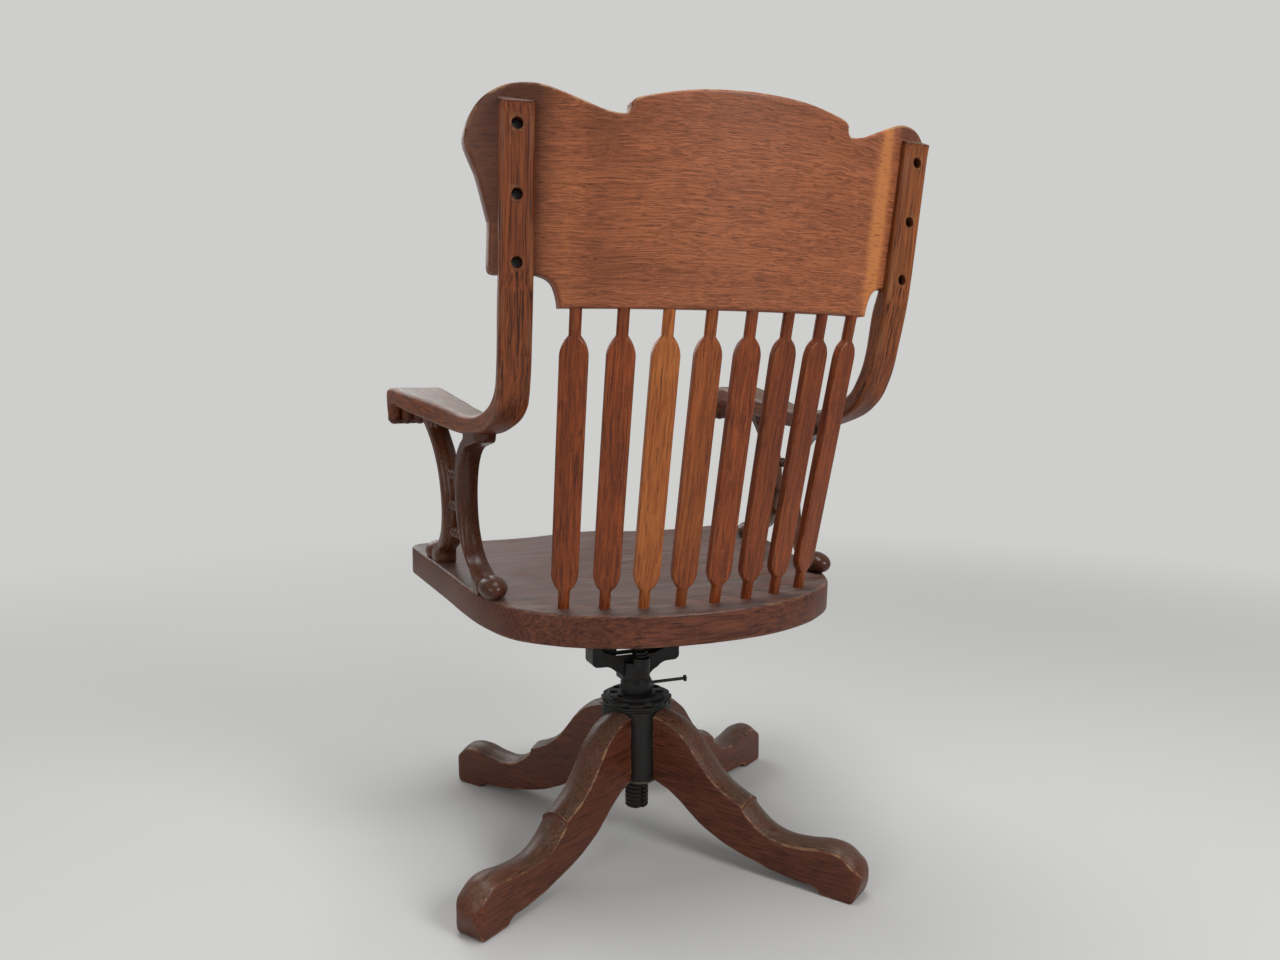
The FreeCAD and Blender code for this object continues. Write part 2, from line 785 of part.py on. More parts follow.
def spindle(i):
    """Turned dowel ends with a flat blade between rounded shoulders."""
    low, high = spindle_ends(i)
    length = (high - low).Length
    half = spindle_width / 2
    r = spindle_dowel_radius
    foot = dowel_seat_depth + spindle_foot
    neck = length - dowel_crest_depth - spindle_neck
    flat_low = foot + spindle_shoulder
    flat_high = neck - spindle_shoulder
    side = lambda u, s: V(u, -spindle_thick / 2, s)
    blade = face((-r, foot - 3), [
        (-r, foot), (-half + 3.6, foot + 9, -half, flat_low), (-half, flat_high),
        (-half + 3.6, neck - 9, -r, neck), (-r, neck + 3), (r, neck + 3), (r, neck),
        (half - 3.6, neck - 9, half, flat_high), (half, flat_low),
        (half - 3.6, foot + 9, r, foot), (r, foot - 3)], side)
    blade = blade.extrude(V(0, spindle_thick, 0))
    blade = rounded(blade, spindle_edge_round, lambda e: e.BoundBox.YLength < 0.01
                    and e.BoundBox.ZLength > 12 and abs(e.BoundBox.Center.x) > r)
    body = blade.fuse(rod(V(0, 0, 0), V(0, 0, 1), r, foot + 6))
    body = body.fuse(rod(V(0, 0, neck - 6), V(0, 0, 1), r, length - neck + 6))
    place = i - (spindle_count - 1) / 2.0
    x1 = place * (spindle_pitch_low + spindle_pitch_high) / 2
    bow = (spindle_low_bow + spindle_high_bow) / 2
    yaw = -math.degrees(math.atan(2 * bow * x1 / 10000.0))
    axis = high - low
    axis.normalize()
    across = V(math.cos(math.radians(yaw)), math.sin(math.radians(yaw)), 0)
    across = across - axis * across.dot(axis)
    across.normalize()
    out = axis.cross(across)
    place_it = FreeCAD.Matrix(across.x, out.x, axis.x, low.x,
                              across.y, out.y, axis.y, low.y,
                              across.z, out.z, axis.z, low.z, 0, 0, 0, 1)
    return body.transformed(place_it)


def crest_blank():
    """Bent and leaning panel: a cylinder wall cut by the panel's outline seen from behind."""
    radius = crest_radius
    centre = V(0, spindle_high_y - radius * crest_upright, crest_foot + arm_rise)
    lean = V(0, crest_lean, 1)
    start = centre - lean * 60
    outer = rod(start, lean, radius + crest_thick / 2, 420)
    inner = rod(start - lean, lean, radius - crest_thick / 2, 424)
    shell = outer.cut(inner)
    half_foot = crest_half_foot
    side = crest_half_side
    rise = [(281, 881), (288, 907), (294, 922), (300, 938), (301, 949), (296, 968), (287, 982),
            (275, 991), (261, 996.5), (244, 998), (227, 996), (207, 989), (187, 981),
            (166, 972.5), (152, 969), (141, 968)]
    middle = [(114, 988), (82, 993.5), (48, 997), (0, 998.5)]
    right = [(half_foot, crest_foot), (207, 789, 224, 800.5), (side - 8, 802),
             (side - 1.5, 804, side, 812), (side, 858), rise,
             (137, 970, 136, 979), [(130, 984)] + middle]
    back = lambda points: [(-x, z) for x, z in reversed(points)]
    left = [back([(136, 979), (130, 984)] + middle)[1:], (-137, 970, -141, 968),
            back([(side, 858)] + rise)[1:], (-side, 812), (-side + 1.5, 804, -side + 8, 802),
            (-224, 800.5), (-207, 789, -half_foot, crest_foot)]
    outline = face((-half_foot, crest_foot), right + left, over_seat(in_xz(0)))
    return shell.common(outline.extrude(V(0, 500, 0)))


def post_back(z):
    slope = (post_back_high - post_back_low) / (post_hole_high - post_hole_low)
    return post_back_low + slope * (z - post_hole_low)


def arm_post(crest):
    """Bent piece for the +X side: a leaning post that curves into the arm and its carved end."""
    t = post_thick
    back = [(post_back(974), 974), (post_back(812), 812), (post_back(772) - 0.5, 772)]
    profile = face(back[0], [
        back[1], back[2],
        [(272, 729), (265, 705), (256, 684), (243, 663), (227, 649), (205, 638), (174, 629),
         (131, 620), (87, 616), (50, 616.5), (15, 618.5), (-20, 622.5), (-60, 628),
         (-90, 632.5), (-140, 640), (-185, 647.5), (-222, 653)],
        (-229, 640), (-236, 624, -247, 620), (-262, 622, -265, 640),
        [(-264, 655), (-256, 669), (-240, 677), (-218, 677.5), (-190, 674.5), (-165, 671),
         (-110, 663.5), (-60, 656.5), (0, 649.5), (30, 645.5), (60, 643), (95, 641.5),
         (130, 643), (158, 649), (183, 655), (206, 666), (224, 682), (237, 702), (246, 729),
         (255, 772)],
        (post_back(812) - t, 812), (post_back(962) - t, 985)], over_seat(in_yz(post_x)))
    toe = math.radians(post_toe)
    across = V(math.cos(toe), -math.sin(toe), 0) * 120
    profile.translate(across * -1)
    body = profile.extrude(across * 2)
    half = post_width / 2
    tan = math.tan(math.radians(post_toe))
    rear = 345.0
    xc = lambda y: post_x - (post_back_high - y) * tan
    plan = face((xc(rear) + half, rear), [
        (xc(230) + half, 230),
        [(262.5, 200), (264, 150), (268, 100), (273, 50), (279, 0), (291, -60), (306, -120),
         (319, -180), (326, -225), (327, -245)],
        (324, -268, 305, -279), (262, -270), (250, -265, 247, -245),
        [(246, -225), (243, -180), (240, -120), (237, -60), (234.5, 0), (232, 50), (229.5, 100),
         (226, 150), (224.5, 200), (xc(230) - half, 230)],
        (xc(rear) - half, rear)], in_xy(560 + arm_rise))
    body = body.common(plan.extrude(V(0, 0, 500)))
    body = body.cut(crest)
    pieces = sorted(body.Solids, key=lambda s: -s.Volume)
    body = pieces[0]
    width = 79.0
    for i in range(1, knuckle_count):
        x = 247.5 + width * i / knuckle_count
        groove = rod(V(x, -220, 618.5 + arm_rise), V(0, -1, 0), knuckle_groove, 70)
        face_y = -268.5 - (x - post_x) * math.tan(toe)
        tall = rod(V(x, face_y, 600 + arm_rise), V(0, 0, 1), knuckle_groove, 62)
        body = body.cut(groove).cut(tall)
    for place in hole_places():
        body = body.cut(rod(place[0], place[1], post_hole_radius, 80))
        body = body.cut(rod(place[0] - place[1] * 60, place[1], crest_screw_radius, 70))
    return body


def hole_places():
    """Centres of the counterbore floors on the +X post and the direction out of them."""
    out = V(math.sin(math.radians(post_toe)), math.cos(math.radians(post_toe)), 0)
    places = []
    for k in range(3):
        z = post_hole_high + (post_hole_low - post_hole_high) * k / 2.0
        y = post_back(z)
        x = post_x - (post_back_high - y) * math.tan(math.radians(post_toe))
        places.append((V(x, y, z + arm_rise) - out * post_hole_depth, out))
    return places


def crest_screws():
    pieces = []
    for place, out in hole_places():
        head = rod(place, out, crest_screw_head, 2.5)
        grip = post_thick - post_hole_depth + crest_screw_reach
        shank = rod(place - out * grip, out, crest_screw_radius, grip)
        pieces.append(head.fuse(shank))
    return pieces + [mirrored(p) for p in pieces]


def in_support(y, z, off):
    """A point on the plane that the arm supports stand in, moved sideways by off."""
    x = support_centre - support_toe * y + support_lean * (z - support_base) + off
    return V(x, y, z + arm_rise)


def support_solid(start, steps):
    flat = face(start, steps, lambda y, z: in_support(y, z, -support_width / 2))
    return flat.extrude(V(support_width, 0, 0))


def arm_underside(y):
    table = [(131, 620), (87, 616), (50, 616.5), (15, 618.5), (-20, 622.5), (-60, 628),
             (-90, 632.5), (-140, 640), (-185, 647.5)]
    for (y1, z1), (y0, z0) in zip(table, table[1:]):
        if y0 <= y <= y1:
            return z0 + (z1 - z0) * (y - y0) / (y1 - y0)
    return table[0][1]


def rear_support():
    base = 380.0
    steps = [
        (60, base), (60, 433),
        [(46, 443), (34, 453), (22, 466), (13, 482), (8, 502), (7, 523), (9, 544), (14, 562),
         (20, 577), (30, 592), (42, 602), (60, 611)],
        (60, 660), (124, 660), (124, 616), (119, 609, 108, 606.5), (92, 603),
        [(72, 599), (56, 589), (44, 574), (36, 556), (31, 535), (29, 515), (30, 493), (35, 471),
         (43, 455), (56, 442), (76, 432)],
        (88, 430), (92, 432.5), (104, 436, 124, 432), (134, 428, 137, 418), (136, 410, 130, base)]
    return support_solid((70, base), steps)


def front_support():
    base = 380.0
    steps = [
        (-171, base), (-172, 425), (-170, 436, -160, 441), (-148, 445, -137, 441),
        (-132, 437), (-124, 440),
        [(-100, 449), (-84, 461), (-73, 477), (-66, 500), (-65, 523), (-68, 545), (-73, 560),
         (-81, 575), (-90, 588), (-101, 600), (-114, 612), (-127, 622)],
        (-140, 632), (-140, 680), (-96, 680), (-96, 622),
        [(-84, 607), (-70, 593), (-59, 578), (-49, 560), (-43, 540), (-41, 520), (-42, 500),
         (-47, 478), (-56, 462), (-70, 448), (-86, 440)],
        (-93, 436), (-98, 428), (-98, base)]
    return support_solid((-120, base), steps)


def fit_support(shape, arm):
    """Trim a support to the seat's top below and the arm's underside above."""
    shape = shape.common(above_level(0))
    low_arm = arm.common(box(200, 360, -230, 190, 560 + arm_rise, 700 + arm_rise))
    shape = shape.cut(low_arm)
    pieces = sorted(shape.Solids, key=lambda s: s.BoundBox.ZMin)
    return pieces[0]


def foot_screws():
    pieces = []
    for y in (96, -118):
        z = seat_plane(y) - seat_thick
        x = support_centre - support_toe * y
        place = V(x, y, z - 0.01)
        shank = rod(place, V(0, 0, 1), foot_screw_radius, seat_thick + foot_screw_bite)
        head = Part.makeCone(foot_screw_head, foot_screw_radius, 3.2, place, V(0, 0, 1))
        pieces.append(shank.fuse(head))
    return pieces + [mirrored(p) for p in pieces]


def arm_dowels():
    pieces = []
    for y in (92, -118):
        z = arm_underside(y)
        mid = in_support(y, z, 0)
        pieces.append(rod(mid - V(0, 0, arm_dowel_half), V(0, 0, 1), arm_dowel_radius,
                          2 * arm_dowel_half))
    return pieces + [mirrored(p) for p in pieces]


def beads(front, rear):
    pieces = []
    for z in bead_heights:
        y0, y1 = -60.0, 25.0
        a, b = in_support(y0, z, bead_offset), in_support(y1, z, bead_offset)
        run = b - a
        length = run.Length
        run.normalize()
        core = rod(a, run, 4.0, length)
        for share in (0.36, 0.52, 0.68):
            core = core.fuse(Part.makeSphere(bead_radius, a + run * (length * share)))
        core = core.cut(front).cut(rear)
        middle = a + run * (length * 0.5)
        pieces.append(min(core.Solids, key=lambda s: (s.CenterOfMass - middle).Length))
    return pieces


def main():
    os.makedirs("parts", exist_ok=True)
    bolts = leg_bolts()
    one_leg = leg()
    save("hub", hub(bolts))
    for i in range(leg_count):
        piece = turned(one_leg, leg_turn + 90 * i)
        for bolt in bolts:
            piece = piece.cut(bolt)
        save("leg_%d" % (i + 1), piece)
    save("leg_bolts", Part.makeCompound(bolts))
    save("hub_bottom_plate", bottom_plate())
    save("hub_plate_screws", Part.makeCompound(plate_screws()))
    save("thrust_ring", thrust_ring())
    save("hand_wheel", hand_wheel())
    save("height_screw", height_screw())
    save("yoke", yoke())
    save("lock_pin", lock_pin())
    save("pivot_rod", pivot_rod())
    save("pivot_nut", pivot_nut())
    save("stop_buffers", Part.makeCompound(stop_buffers()))
    save("tilt_spring", tilt_spring())
    save("seat_iron", seat_iron())
    save("seat_iron_screws", Part.makeCompound(iron_screws()))
    save("seat", seat())
    crest = crest_blank()
    post = arm_post(crest)
    rear = fit_support(rear_support(), post)
    front = fit_support(front_support(), post)
    for screw in foot_screws():
        rear = rear.cut(screw)
        front = front.cut(screw)
    for dowel in arm_dowels():
        rear = rear.cut(dowel)
        front = front.cut(dowel)
        post = post.cut(dowel)
    save("left_arm_post", post)
    save("right_arm_post", mirrored(post))
    save("left_front_support", front)
    save("right_front_support", mirrored(front))
    save("left_rear_support", rear)
    save("right_rear_support", mirrored(rear))
    strung = beads(front, rear)
    save("left_support_beads", Part.makeCompound(strung))
    save("right_support_beads", Part.makeCompound([mirrored(b) for b in strung]))
    save("support_foot_screws", Part.makeCompound(foot_screws()))
    save("arm_dowels", Part.makeCompound(arm_dowels()))
    for i in range(spindle_count):
        save("back_spindle_%d" % (i + 1), spindle(i))
        low, high = spindle_ends(i)
        crest = crest.cut(rod(low, high - low, spindle_dowel_radius + dowel_fit,
                              (high - low).Length))
    screws = crest_screws()
    for screw in screws:
        crest = crest.cut(screw)
    save("crest_panel", crest)
    save("crest_screws", Part.makeCompound(screws))


main()
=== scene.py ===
import math

import bmesh
import bpy
from bpy.props import FloatProperty, FloatVectorProperty, PointerProperty
from mathutils import Matrix, Vector, noise


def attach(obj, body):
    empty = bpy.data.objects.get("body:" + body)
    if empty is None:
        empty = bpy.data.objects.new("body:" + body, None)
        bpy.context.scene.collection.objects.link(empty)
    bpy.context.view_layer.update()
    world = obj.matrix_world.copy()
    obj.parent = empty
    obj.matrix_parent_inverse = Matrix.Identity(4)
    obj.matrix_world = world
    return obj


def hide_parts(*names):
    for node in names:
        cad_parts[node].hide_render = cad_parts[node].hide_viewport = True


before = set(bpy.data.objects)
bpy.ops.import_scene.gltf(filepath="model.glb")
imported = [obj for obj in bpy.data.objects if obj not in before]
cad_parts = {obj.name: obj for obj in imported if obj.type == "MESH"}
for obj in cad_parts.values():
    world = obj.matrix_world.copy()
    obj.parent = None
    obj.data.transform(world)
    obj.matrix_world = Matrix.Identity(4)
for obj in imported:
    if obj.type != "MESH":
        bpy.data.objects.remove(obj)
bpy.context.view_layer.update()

bl_info = {
    "name": "Swivel Armchair",
    "version": (1, 0, 0),
    "blender": (4, 5, 0),
    "location": "3D View > Sidebar > Armchair",
    "description": "Dresses the frame of a worn oak swivel armchair",
    "category": "Object",
}

MM = 0.001
PHOTO_WIDTH = 1280
PHOTO_FOCAL = 965.08
PHOTO_YAW = 0.3765521
PHOTO_PITCH = 0.0942245
PHOTO_ROLL = -0.0028289
PHOTO_PLACE = (0.5189833, 1.3302655, 0.67495)
BACKDROP = (0.62, 0.62, 0.61, 1)

# The seat's plane, the line of spindles and the back's lean, as the frame has them
SEAT_SLOPE = 0.06
SEAT_REAR = 398.7
SEAT_REAR_PLACE = 219.0
BACK_FOOT = 765.0
BACK_PLACE = 313.5
BACK_LEAN = 0.172
BACK_RADIUS = 576.5
TOE = math.radians(7.0)
LEG_TURN = math.radians(33.7)

# The row of spindles: spacing and bow at the seat and at the back panel, and their dowels
SPINDLE_MIDDLE = 3.5
SEAT_SPACING = 48.5
BACK_SPACING = 52.0
SEAT_BOW = 12.39
BACK_BOW = 8.67
SPINDLE_REAR = 218.9
SEAT_DOWEL = 0.022
BACK_DOWEL = 0.016
SPINDLE_NECK = 0.047
NECK_SWELL = 0.024

# Holes in the posts as (rearwards, up), and the beaded rods as (up, start, end)
POST_HOLES = ((314.1, 953), (303.05, 882.5), (292.05, 812))
HOLE_RADIUS = 6.35
HOLE_DEPTH = 12
BEAD_ROWS = ((473.0, 11.0, 77.0), (512.0, 17.0, 68.5), (556.0, 10.5, 72.5))
BEAD_SHARES = (0.36, 0.52, 0.68)
BEAD_OFFSET = 4
ROD_RADIUS = 4.0
SEAT_ROUND = 4.5
BOARD_WIDTH = 0.085


def wood_colour(name, description, default):
    return FloatVectorProperty(name=name, description=description, subtype="COLOR", size=3,
                               min=0.0, max=1.0, default=default)


def length(name, description, millimetres):
    return FloatProperty(name=name, description=description, subtype="DISTANCE", unit="LENGTH",
                         min=0.0, default=millimetres * MM)


class ChairSizes(bpy.types.PropertyGroup):
    crest_thick: length("Crest thickness", "Thickness of the bent back panel", 19.0)
    crest_round: length("Crest edge", "Rounding of the back panel's edges", 3.6)
    post_width: length("Post width", "Width of the uprights behind the back panel", 38.0)
    arm_round: length("Arm edge", "Rounding of the arms' long edges", 6.5)
    blade_width: length("Spindle blade width", "Width of a spindle's flat blade", 34.0)
    blade_thick: length("Spindle blade thickness", "Thickness of a spindle's flat blade", 13.0)
    dowel_width: length("Spindle dowel", "Diameter of a spindle's round ends", 14.4)
    seat_thick: length("Seat thickness", "Thickness of the seat at its rim", 43.0)
    dish_depth: length("Dish depth", "How far the seat is hollowed", 13.0)
    leg_thick: length("Leg thickness", "Thickness of a leg", 44.0)
    leg_crown: length("Leg crown", "How far a leg's back rises between its arrises", 6.5)
    support_width: length("Scroll width", "Width of the scrolled arm supports", 29.0)
    bead_radius: length("Bead radius", "Radius of the turned beads", 7.6)


class ChairColours(bpy.types.PropertyGroup):
    crest_dark: wood_colour("Crest, dark grain", "Dark grain of the back panel",
                            (0.120, 0.034, 0.015))
    crest_light: wood_colour("Crest, light grain", "Light grain of the back panel",
                             (0.43, 0.138, 0.056))
    post_dark: wood_colour("Arm, dark grain", "Dark grain of the bent arms", (0.048, 0.009, 0.003))
    post_light: wood_colour("Arm, light grain", "Light grain of the bent arms",
                            (0.275, 0.070, 0.018))
    blade_dark: wood_colour("Spindle, dark grain", "Dark grain of the spindles",
                            (0.068, 0.011, 0.003))
    blade_light: wood_colour("Spindle, light grain", "Light grain of the spindles",
                             (0.31, 0.068, 0.014))
    # Grey colour of the seat's upward faces: a painted reflection (sheen) on the seat top, not a
    # grain colour
    seat_top_sheen: wood_colour("Seat, light grain", "Light grain of the seat", (0.15, 0.10, 0.088))
    scroll_dark: wood_colour("Scroll, dark grain", "Dark grain of the scrolls",
                             (0.030, 0.010, 0.006))
    scroll_light: wood_colour("Scroll, light grain", "Light grain of the scrolls",
                              (0.135, 0.042, 0.016))
    leg_dark: wood_colour("Leg, dark grain", "Dark grain of the legs", (0.045, 0.011, 0.006))
    leg_light: wood_colour("Leg, light grain", "Light grain of the legs", (0.155, 0.045, 0.020))
    # Honey colour: wood with thin varnish, and also the painted highlight on the crest's bends and
    # on the lit right post
    honey_and_highlight: wood_colour("Honey glow", "Wood where the old varnish is thin", (0.50, 0.19, 0.045))
    bare: wood_colour("Bare wood", "Wood worn through its varnish", (0.30, 0.16, 0.075))
    weathered: wood_colour("Weathered wood", "Grey wood on the arms and leg tops",
                           (0.13, 0.088, 0.060))
    iron: wood_colour("Black iron", "Aged black castings", (0.010, 0.0095, 0.009))
    worn_iron: wood_colour("Worn iron", "Handled and threaded iron", (0.020, 0.018, 0.016))
    floor: wood_colour("Floor", "Floor around the chair", (0.50, 0.50, 0.49))


# Shaping helpers

def glide(points, share):
    """The place at this share of a smooth run through the points."""
    spot = min(max(share, 0.0), 1.0) * (len(points) - 1)
    i = min(int(spot), len(points) - 2)
    t = spot - i
    a, b, c, d = (Vector(points[min(max(i + k, 0), len(points) - 1)]) for k in (-1, 0, 1, 2))
    return 0.5 * (2 * b + (c - a) * t + (2 * a - 5 * b + 4 * c - d) * t * t
                  + (3 * b - a - 3 * c + d) * t * t * t)


def soft_step(low, high, value):
    t = min(max((value - low) / (high - low), 0.0), 1.0)
    return t * t * (3 - 2 * t)


def start_piece():
    bm = bmesh.new()
    bm.verts.layers.float_vector.new("grain")
    bm.verts.layers.float.new("tone")
    bm.verts.layers.float.new("wear")
    return bm


def wrap_skin(bm, around, along, place):
    """A closed skin: place(u, v) gives the point at share u round the piece and v along it."""
    sheet = bmesh.ops.create_grid(bm, x_segments=around, y_segments=along, size=0.5)
    layer = bm.verts.layers.float_vector["grain"]
    verts = sheet["verts"]
    for vert in verts:
        vert.co, vert[layer] = place(vert.co.x + 0.5, vert.co.y + 0.5)
    bmesh.ops.remove_doubles(bm, verts=verts, dist=2e-6)
    rims = [e for e in bm.edges if e.is_boundary]
    bmesh.ops.holes_fill(bm, edges=rims, sides=0)
    bmesh.ops.recalc_face_normals(bm, faces=bm.faces)


def turn_on_lathe(bm, profile, start, axis):
    """Turn a profile of (distance along, radius) pairs about an axis."""
    side = axis.orthogonal().normalized()
    verts = [bm.verts.new(start + axis * s + side * r) for s, r in profile]
    edges = [bm.edges.new(pair) for pair in zip(verts, verts[1:])]
    bmesh.ops.spin(bm, geom=verts + edges, cent=start, axis=axis, angle=2 * math.pi,
                   steps=28, use_merge=True)
    bmesh.ops.remove_doubles(bm, verts=bm.verts, dist=2e-6)
    bmesh.ops.recalc_face_normals(bm, faces=bm.faces)


def bore(bm, centre, out, radius, depth):
    """Sink a round hole with a flat floor into a skin, and keep the skin closed."""
    def near(place, reach):
        step = place - centre
        along = step.dot(out)
        return abs(along) < 4 * MM and (step - out * along).length < reach
    inside = [f for f in bm.faces if f.normal.dot(out) > 0.5
              and near(f.calc_center_median(), radius * 1.3)]
    bmesh.ops.delete(bm, geom=inside, context="FACES")
    rim = [e for e in bm.edges if e.is_boundary]
    turn = Vector((0, 0, 1)).rotation_difference(out).to_matrix().to_4x4()
    circle = bmesh.ops.create_circle(bm, cap_ends=False, segments=32, radius=radius,
                                     matrix=Matrix.Translation(centre) @ turn)
    ring = list({e for v in circle["verts"] for e in v.link_edges})
    bmesh.ops.bridge_loops(bm, edges=rim + ring)
    wall = bmesh.ops.extrude_edge_only(bm, edges=ring)["geom"]
    deep = [g for g in wall if isinstance(g, bmesh.types.BMVert)]
    bmesh.ops.translate(bm, verts=deep, vec=out * -depth)
    floor = [g for g in wall if isinstance(g, bmesh.types.BMEdge) and g.is_boundary]
    bmesh.ops.holes_fill(bm, edges=floor, sides=0)
    bmesh.ops.recalc_face_normals(bm, faces=bm.faces)


def slab(bm, outline, lift, edge_round):
    """A flat board of this outline and thickness with its long edges rounded."""
    face = bm.faces.new([bm.verts.new(p) for p in outline])
    raised = bmesh.ops.extrude_face_region(bm, geom=[face])["geom"]
    moved = [g for g in raised if isinstance(g, bmesh.types.BMVert)]
    bmesh.ops.translate(bm, verts=moved, vec=lift)
    bmesh.ops.recalc_face_normals(bm, faces=bm.faces)
    rims = [e for e in bm.edges if abs((e.verts[1].co - e.verts[0].co).dot(lift)) < 1e-9]
    bmesh.ops.bevel(bm, geom=rims, offset=edge_round, offset_type="OFFSET", affect="EDGES",
                    segments=4, profile=0.5, material=-1, clamp_overlap=False)


def slice_up(bm, axis, low, high, step):
    """Cut the whole piece by planes a step apart, so that it can be bent."""
    normal = Vector((0, 0, 0))
    normal[axis] = 1
    place = low
    while place < high:
        geom = bm.verts[:] + bm.edges[:] + bm.faces[:]
        bmesh.ops.bisect_plane(bm, geom=geom, plane_co=normal * place, plane_no=normal, dist=1e-6)
        place += step


def section_point(u, half_width, half_thick, corner, crown):
    """A point on a board's cross-section: flat sides, round corners and a crowned top."""
    top_w = half_width - corner
    side_low = -half_thick + corner
    side_high = half_thick - corner
    runs = (("top", 0.40), ("right top", 0.07), ("right", 0.09), ("right low", 0.05),
            ("low", 0.18), ("left low", 0.05), ("left", 0.09), ("left top", 0.07))
    u = u % 1.0
    for name, size in runs:
        if u <= size:
            break
        u -= size
    t = min(u / size, 1.0)
    turn = t * math.pi / 2
    if name == "top":
        x = -top_w + 2 * top_w * t
        return x, half_thick - crown * (x / max(top_w, 1e-6)) ** 2
    if name == "right top":
        return top_w + corner * math.sin(turn), side_high - crown + corner * math.cos(turn)
    if name == "right":
        return half_width, side_high - crown + (side_low - side_high + crown) * t
    if name == "right low":
        return top_w + corner * math.cos(turn), side_low - corner * math.sin(turn)
    if name == "low":
        return top_w - 2 * top_w * t, -half_thick
    if name == "left low":
        return -top_w - corner * math.sin(turn), side_low - corner * math.cos(turn)
    if name == "left":
        return -half_width, side_low + (side_high - crown - side_low) * t
    return -top_w - corner * math.cos(turn), side_high - crown + corner * math.sin(turn)


def mark_grain(bm, direction, shift=0.0):
    """Lay the grain straight along a direction of the piece."""
    layer = bm.verts.layers.float_vector["grain"]
    turn = Vector((1, 0, 0)).rotation_difference(Vector(direction).normalized()).to_matrix()
    turn = turn.transposed()
    for vert in bm.verts:
        vert[layer] = turn @ vert.co + Vector((shift, shift * 0.37, shift * 0.71))


def mark_wear(bm, share):
    """Note how strongly each point stands out, for the wear along rounded edges."""
    layer = bm.verts.layers.float["wear"]
    for vert in bm.verts:
        most = 0.0
        for edge in vert.link_edges:
            if len(edge.link_faces) != 2:
                continue
            width = (edge.link_faces[0].calc_area() + edge.link_faces[1].calc_area()) / 2
            width /= max(edge.calc_length(), 1e-7)
            bend = edge.calc_face_angle_signed(0.0) / max(width, 2e-4)
            most = max(most, bend)
        vert[layer] = min(most * 0.0032, 1.0) * share(vert.co)


def mark_tone(bm, tone):
    layer = bm.verts.layers.float["tone"]
    for vert in bm.verts:
        vert[layer] = tone(vert.co)


def finish_piece(bm, name, body, nodes, material, worn=lambda place: 1.0):
    mark_wear(bm, worn)
    mesh = bpy.data.meshes.new(name)
    bm.to_mesh(mesh)
    bm.free()
    mesh.shade_smooth()
    mesh.set_sharp_from_angle(angle=math.radians(50.0))
    mesh.materials.append(material)
    piece = bpy.data.objects.new(name, mesh)
    bpy.context.scene.collection.objects.link(piece)
    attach(piece, body)
    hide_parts(*nodes)


def seat_plane(y):
    return SEAT_REAR + SEAT_SLOPE * (SEAT_REAR_PLACE - y)


# Finishes

def add_node(tree, kind, place, values=None, **settings):
    made = tree.nodes.new(kind)
    made.location = place
    for key, value in settings.items():
        setattr(made, key, value)
    for key, value in (values or {}).items():
        if isinstance(value, bpy.types.NodeSocket):
            tree.links.new(value, made.inputs[key])
        else:
            made.inputs[key].default_value = value
    return made


def scaled(tree, vector, scale, place):
    made = add_node(tree, "ShaderNodeVectorMath", place, {0: vector, 1: scale},
                    operation="MULTIPLY")
    return made.outputs[0]


def cloudy(tree, vector, scale, place, detail=3.0, rough=0.55):
    """Noise drawn out by the scale of each axis."""
    made = add_node(tree, "ShaderNodeTexNoise", place,
                    {"Vector": scaled(tree, vector, scale, (place[0] - 180, place[1])),
                     "Scale": 1.0, "Detail": detail, "Roughness": rough})
    return made.outputs["Fac"]


def between(tree, value, low, high, place, to_low=0.0, to_high=1.0):
    made = add_node(tree, "ShaderNodeMapRange", place,
                    {"Value": value, "From Min": low, "From Max": high, "To Min": to_low,
                     "To Max": to_high}, clamp=True, interpolation_type="SMOOTHSTEP")
    return made.outputs[0]


def sums(tree, how, a, b, place):
    made = add_node(tree, "ShaderNodeMath", place, {0: a, 1: b}, operation=how, use_clamp=False)
    return made.outputs[0]


def blend_colours(tree, share, a, b, place):
    made = tree.nodes.new("ShaderNodeMix")
    made.data_type = "RGBA"
    made.location = place
    for key, value in ((0, share), (6, a), (7, b)):
        if isinstance(value, bpy.types.NodeSocket):
            tree.links.new(value, made.inputs[key])
        elif key == 0:
            made.inputs[key].default_value = value
        else:
            made.inputs[key].default_value = (*value[:3], 1.0)
    return made.outputs[2]


def attribute(tree, name, output, place):
    made = add_node(tree, "ShaderNodeAttribute", place, attribute_name=name)
    made.attribute_type = "GEOMETRY"
    return made.outputs[output]


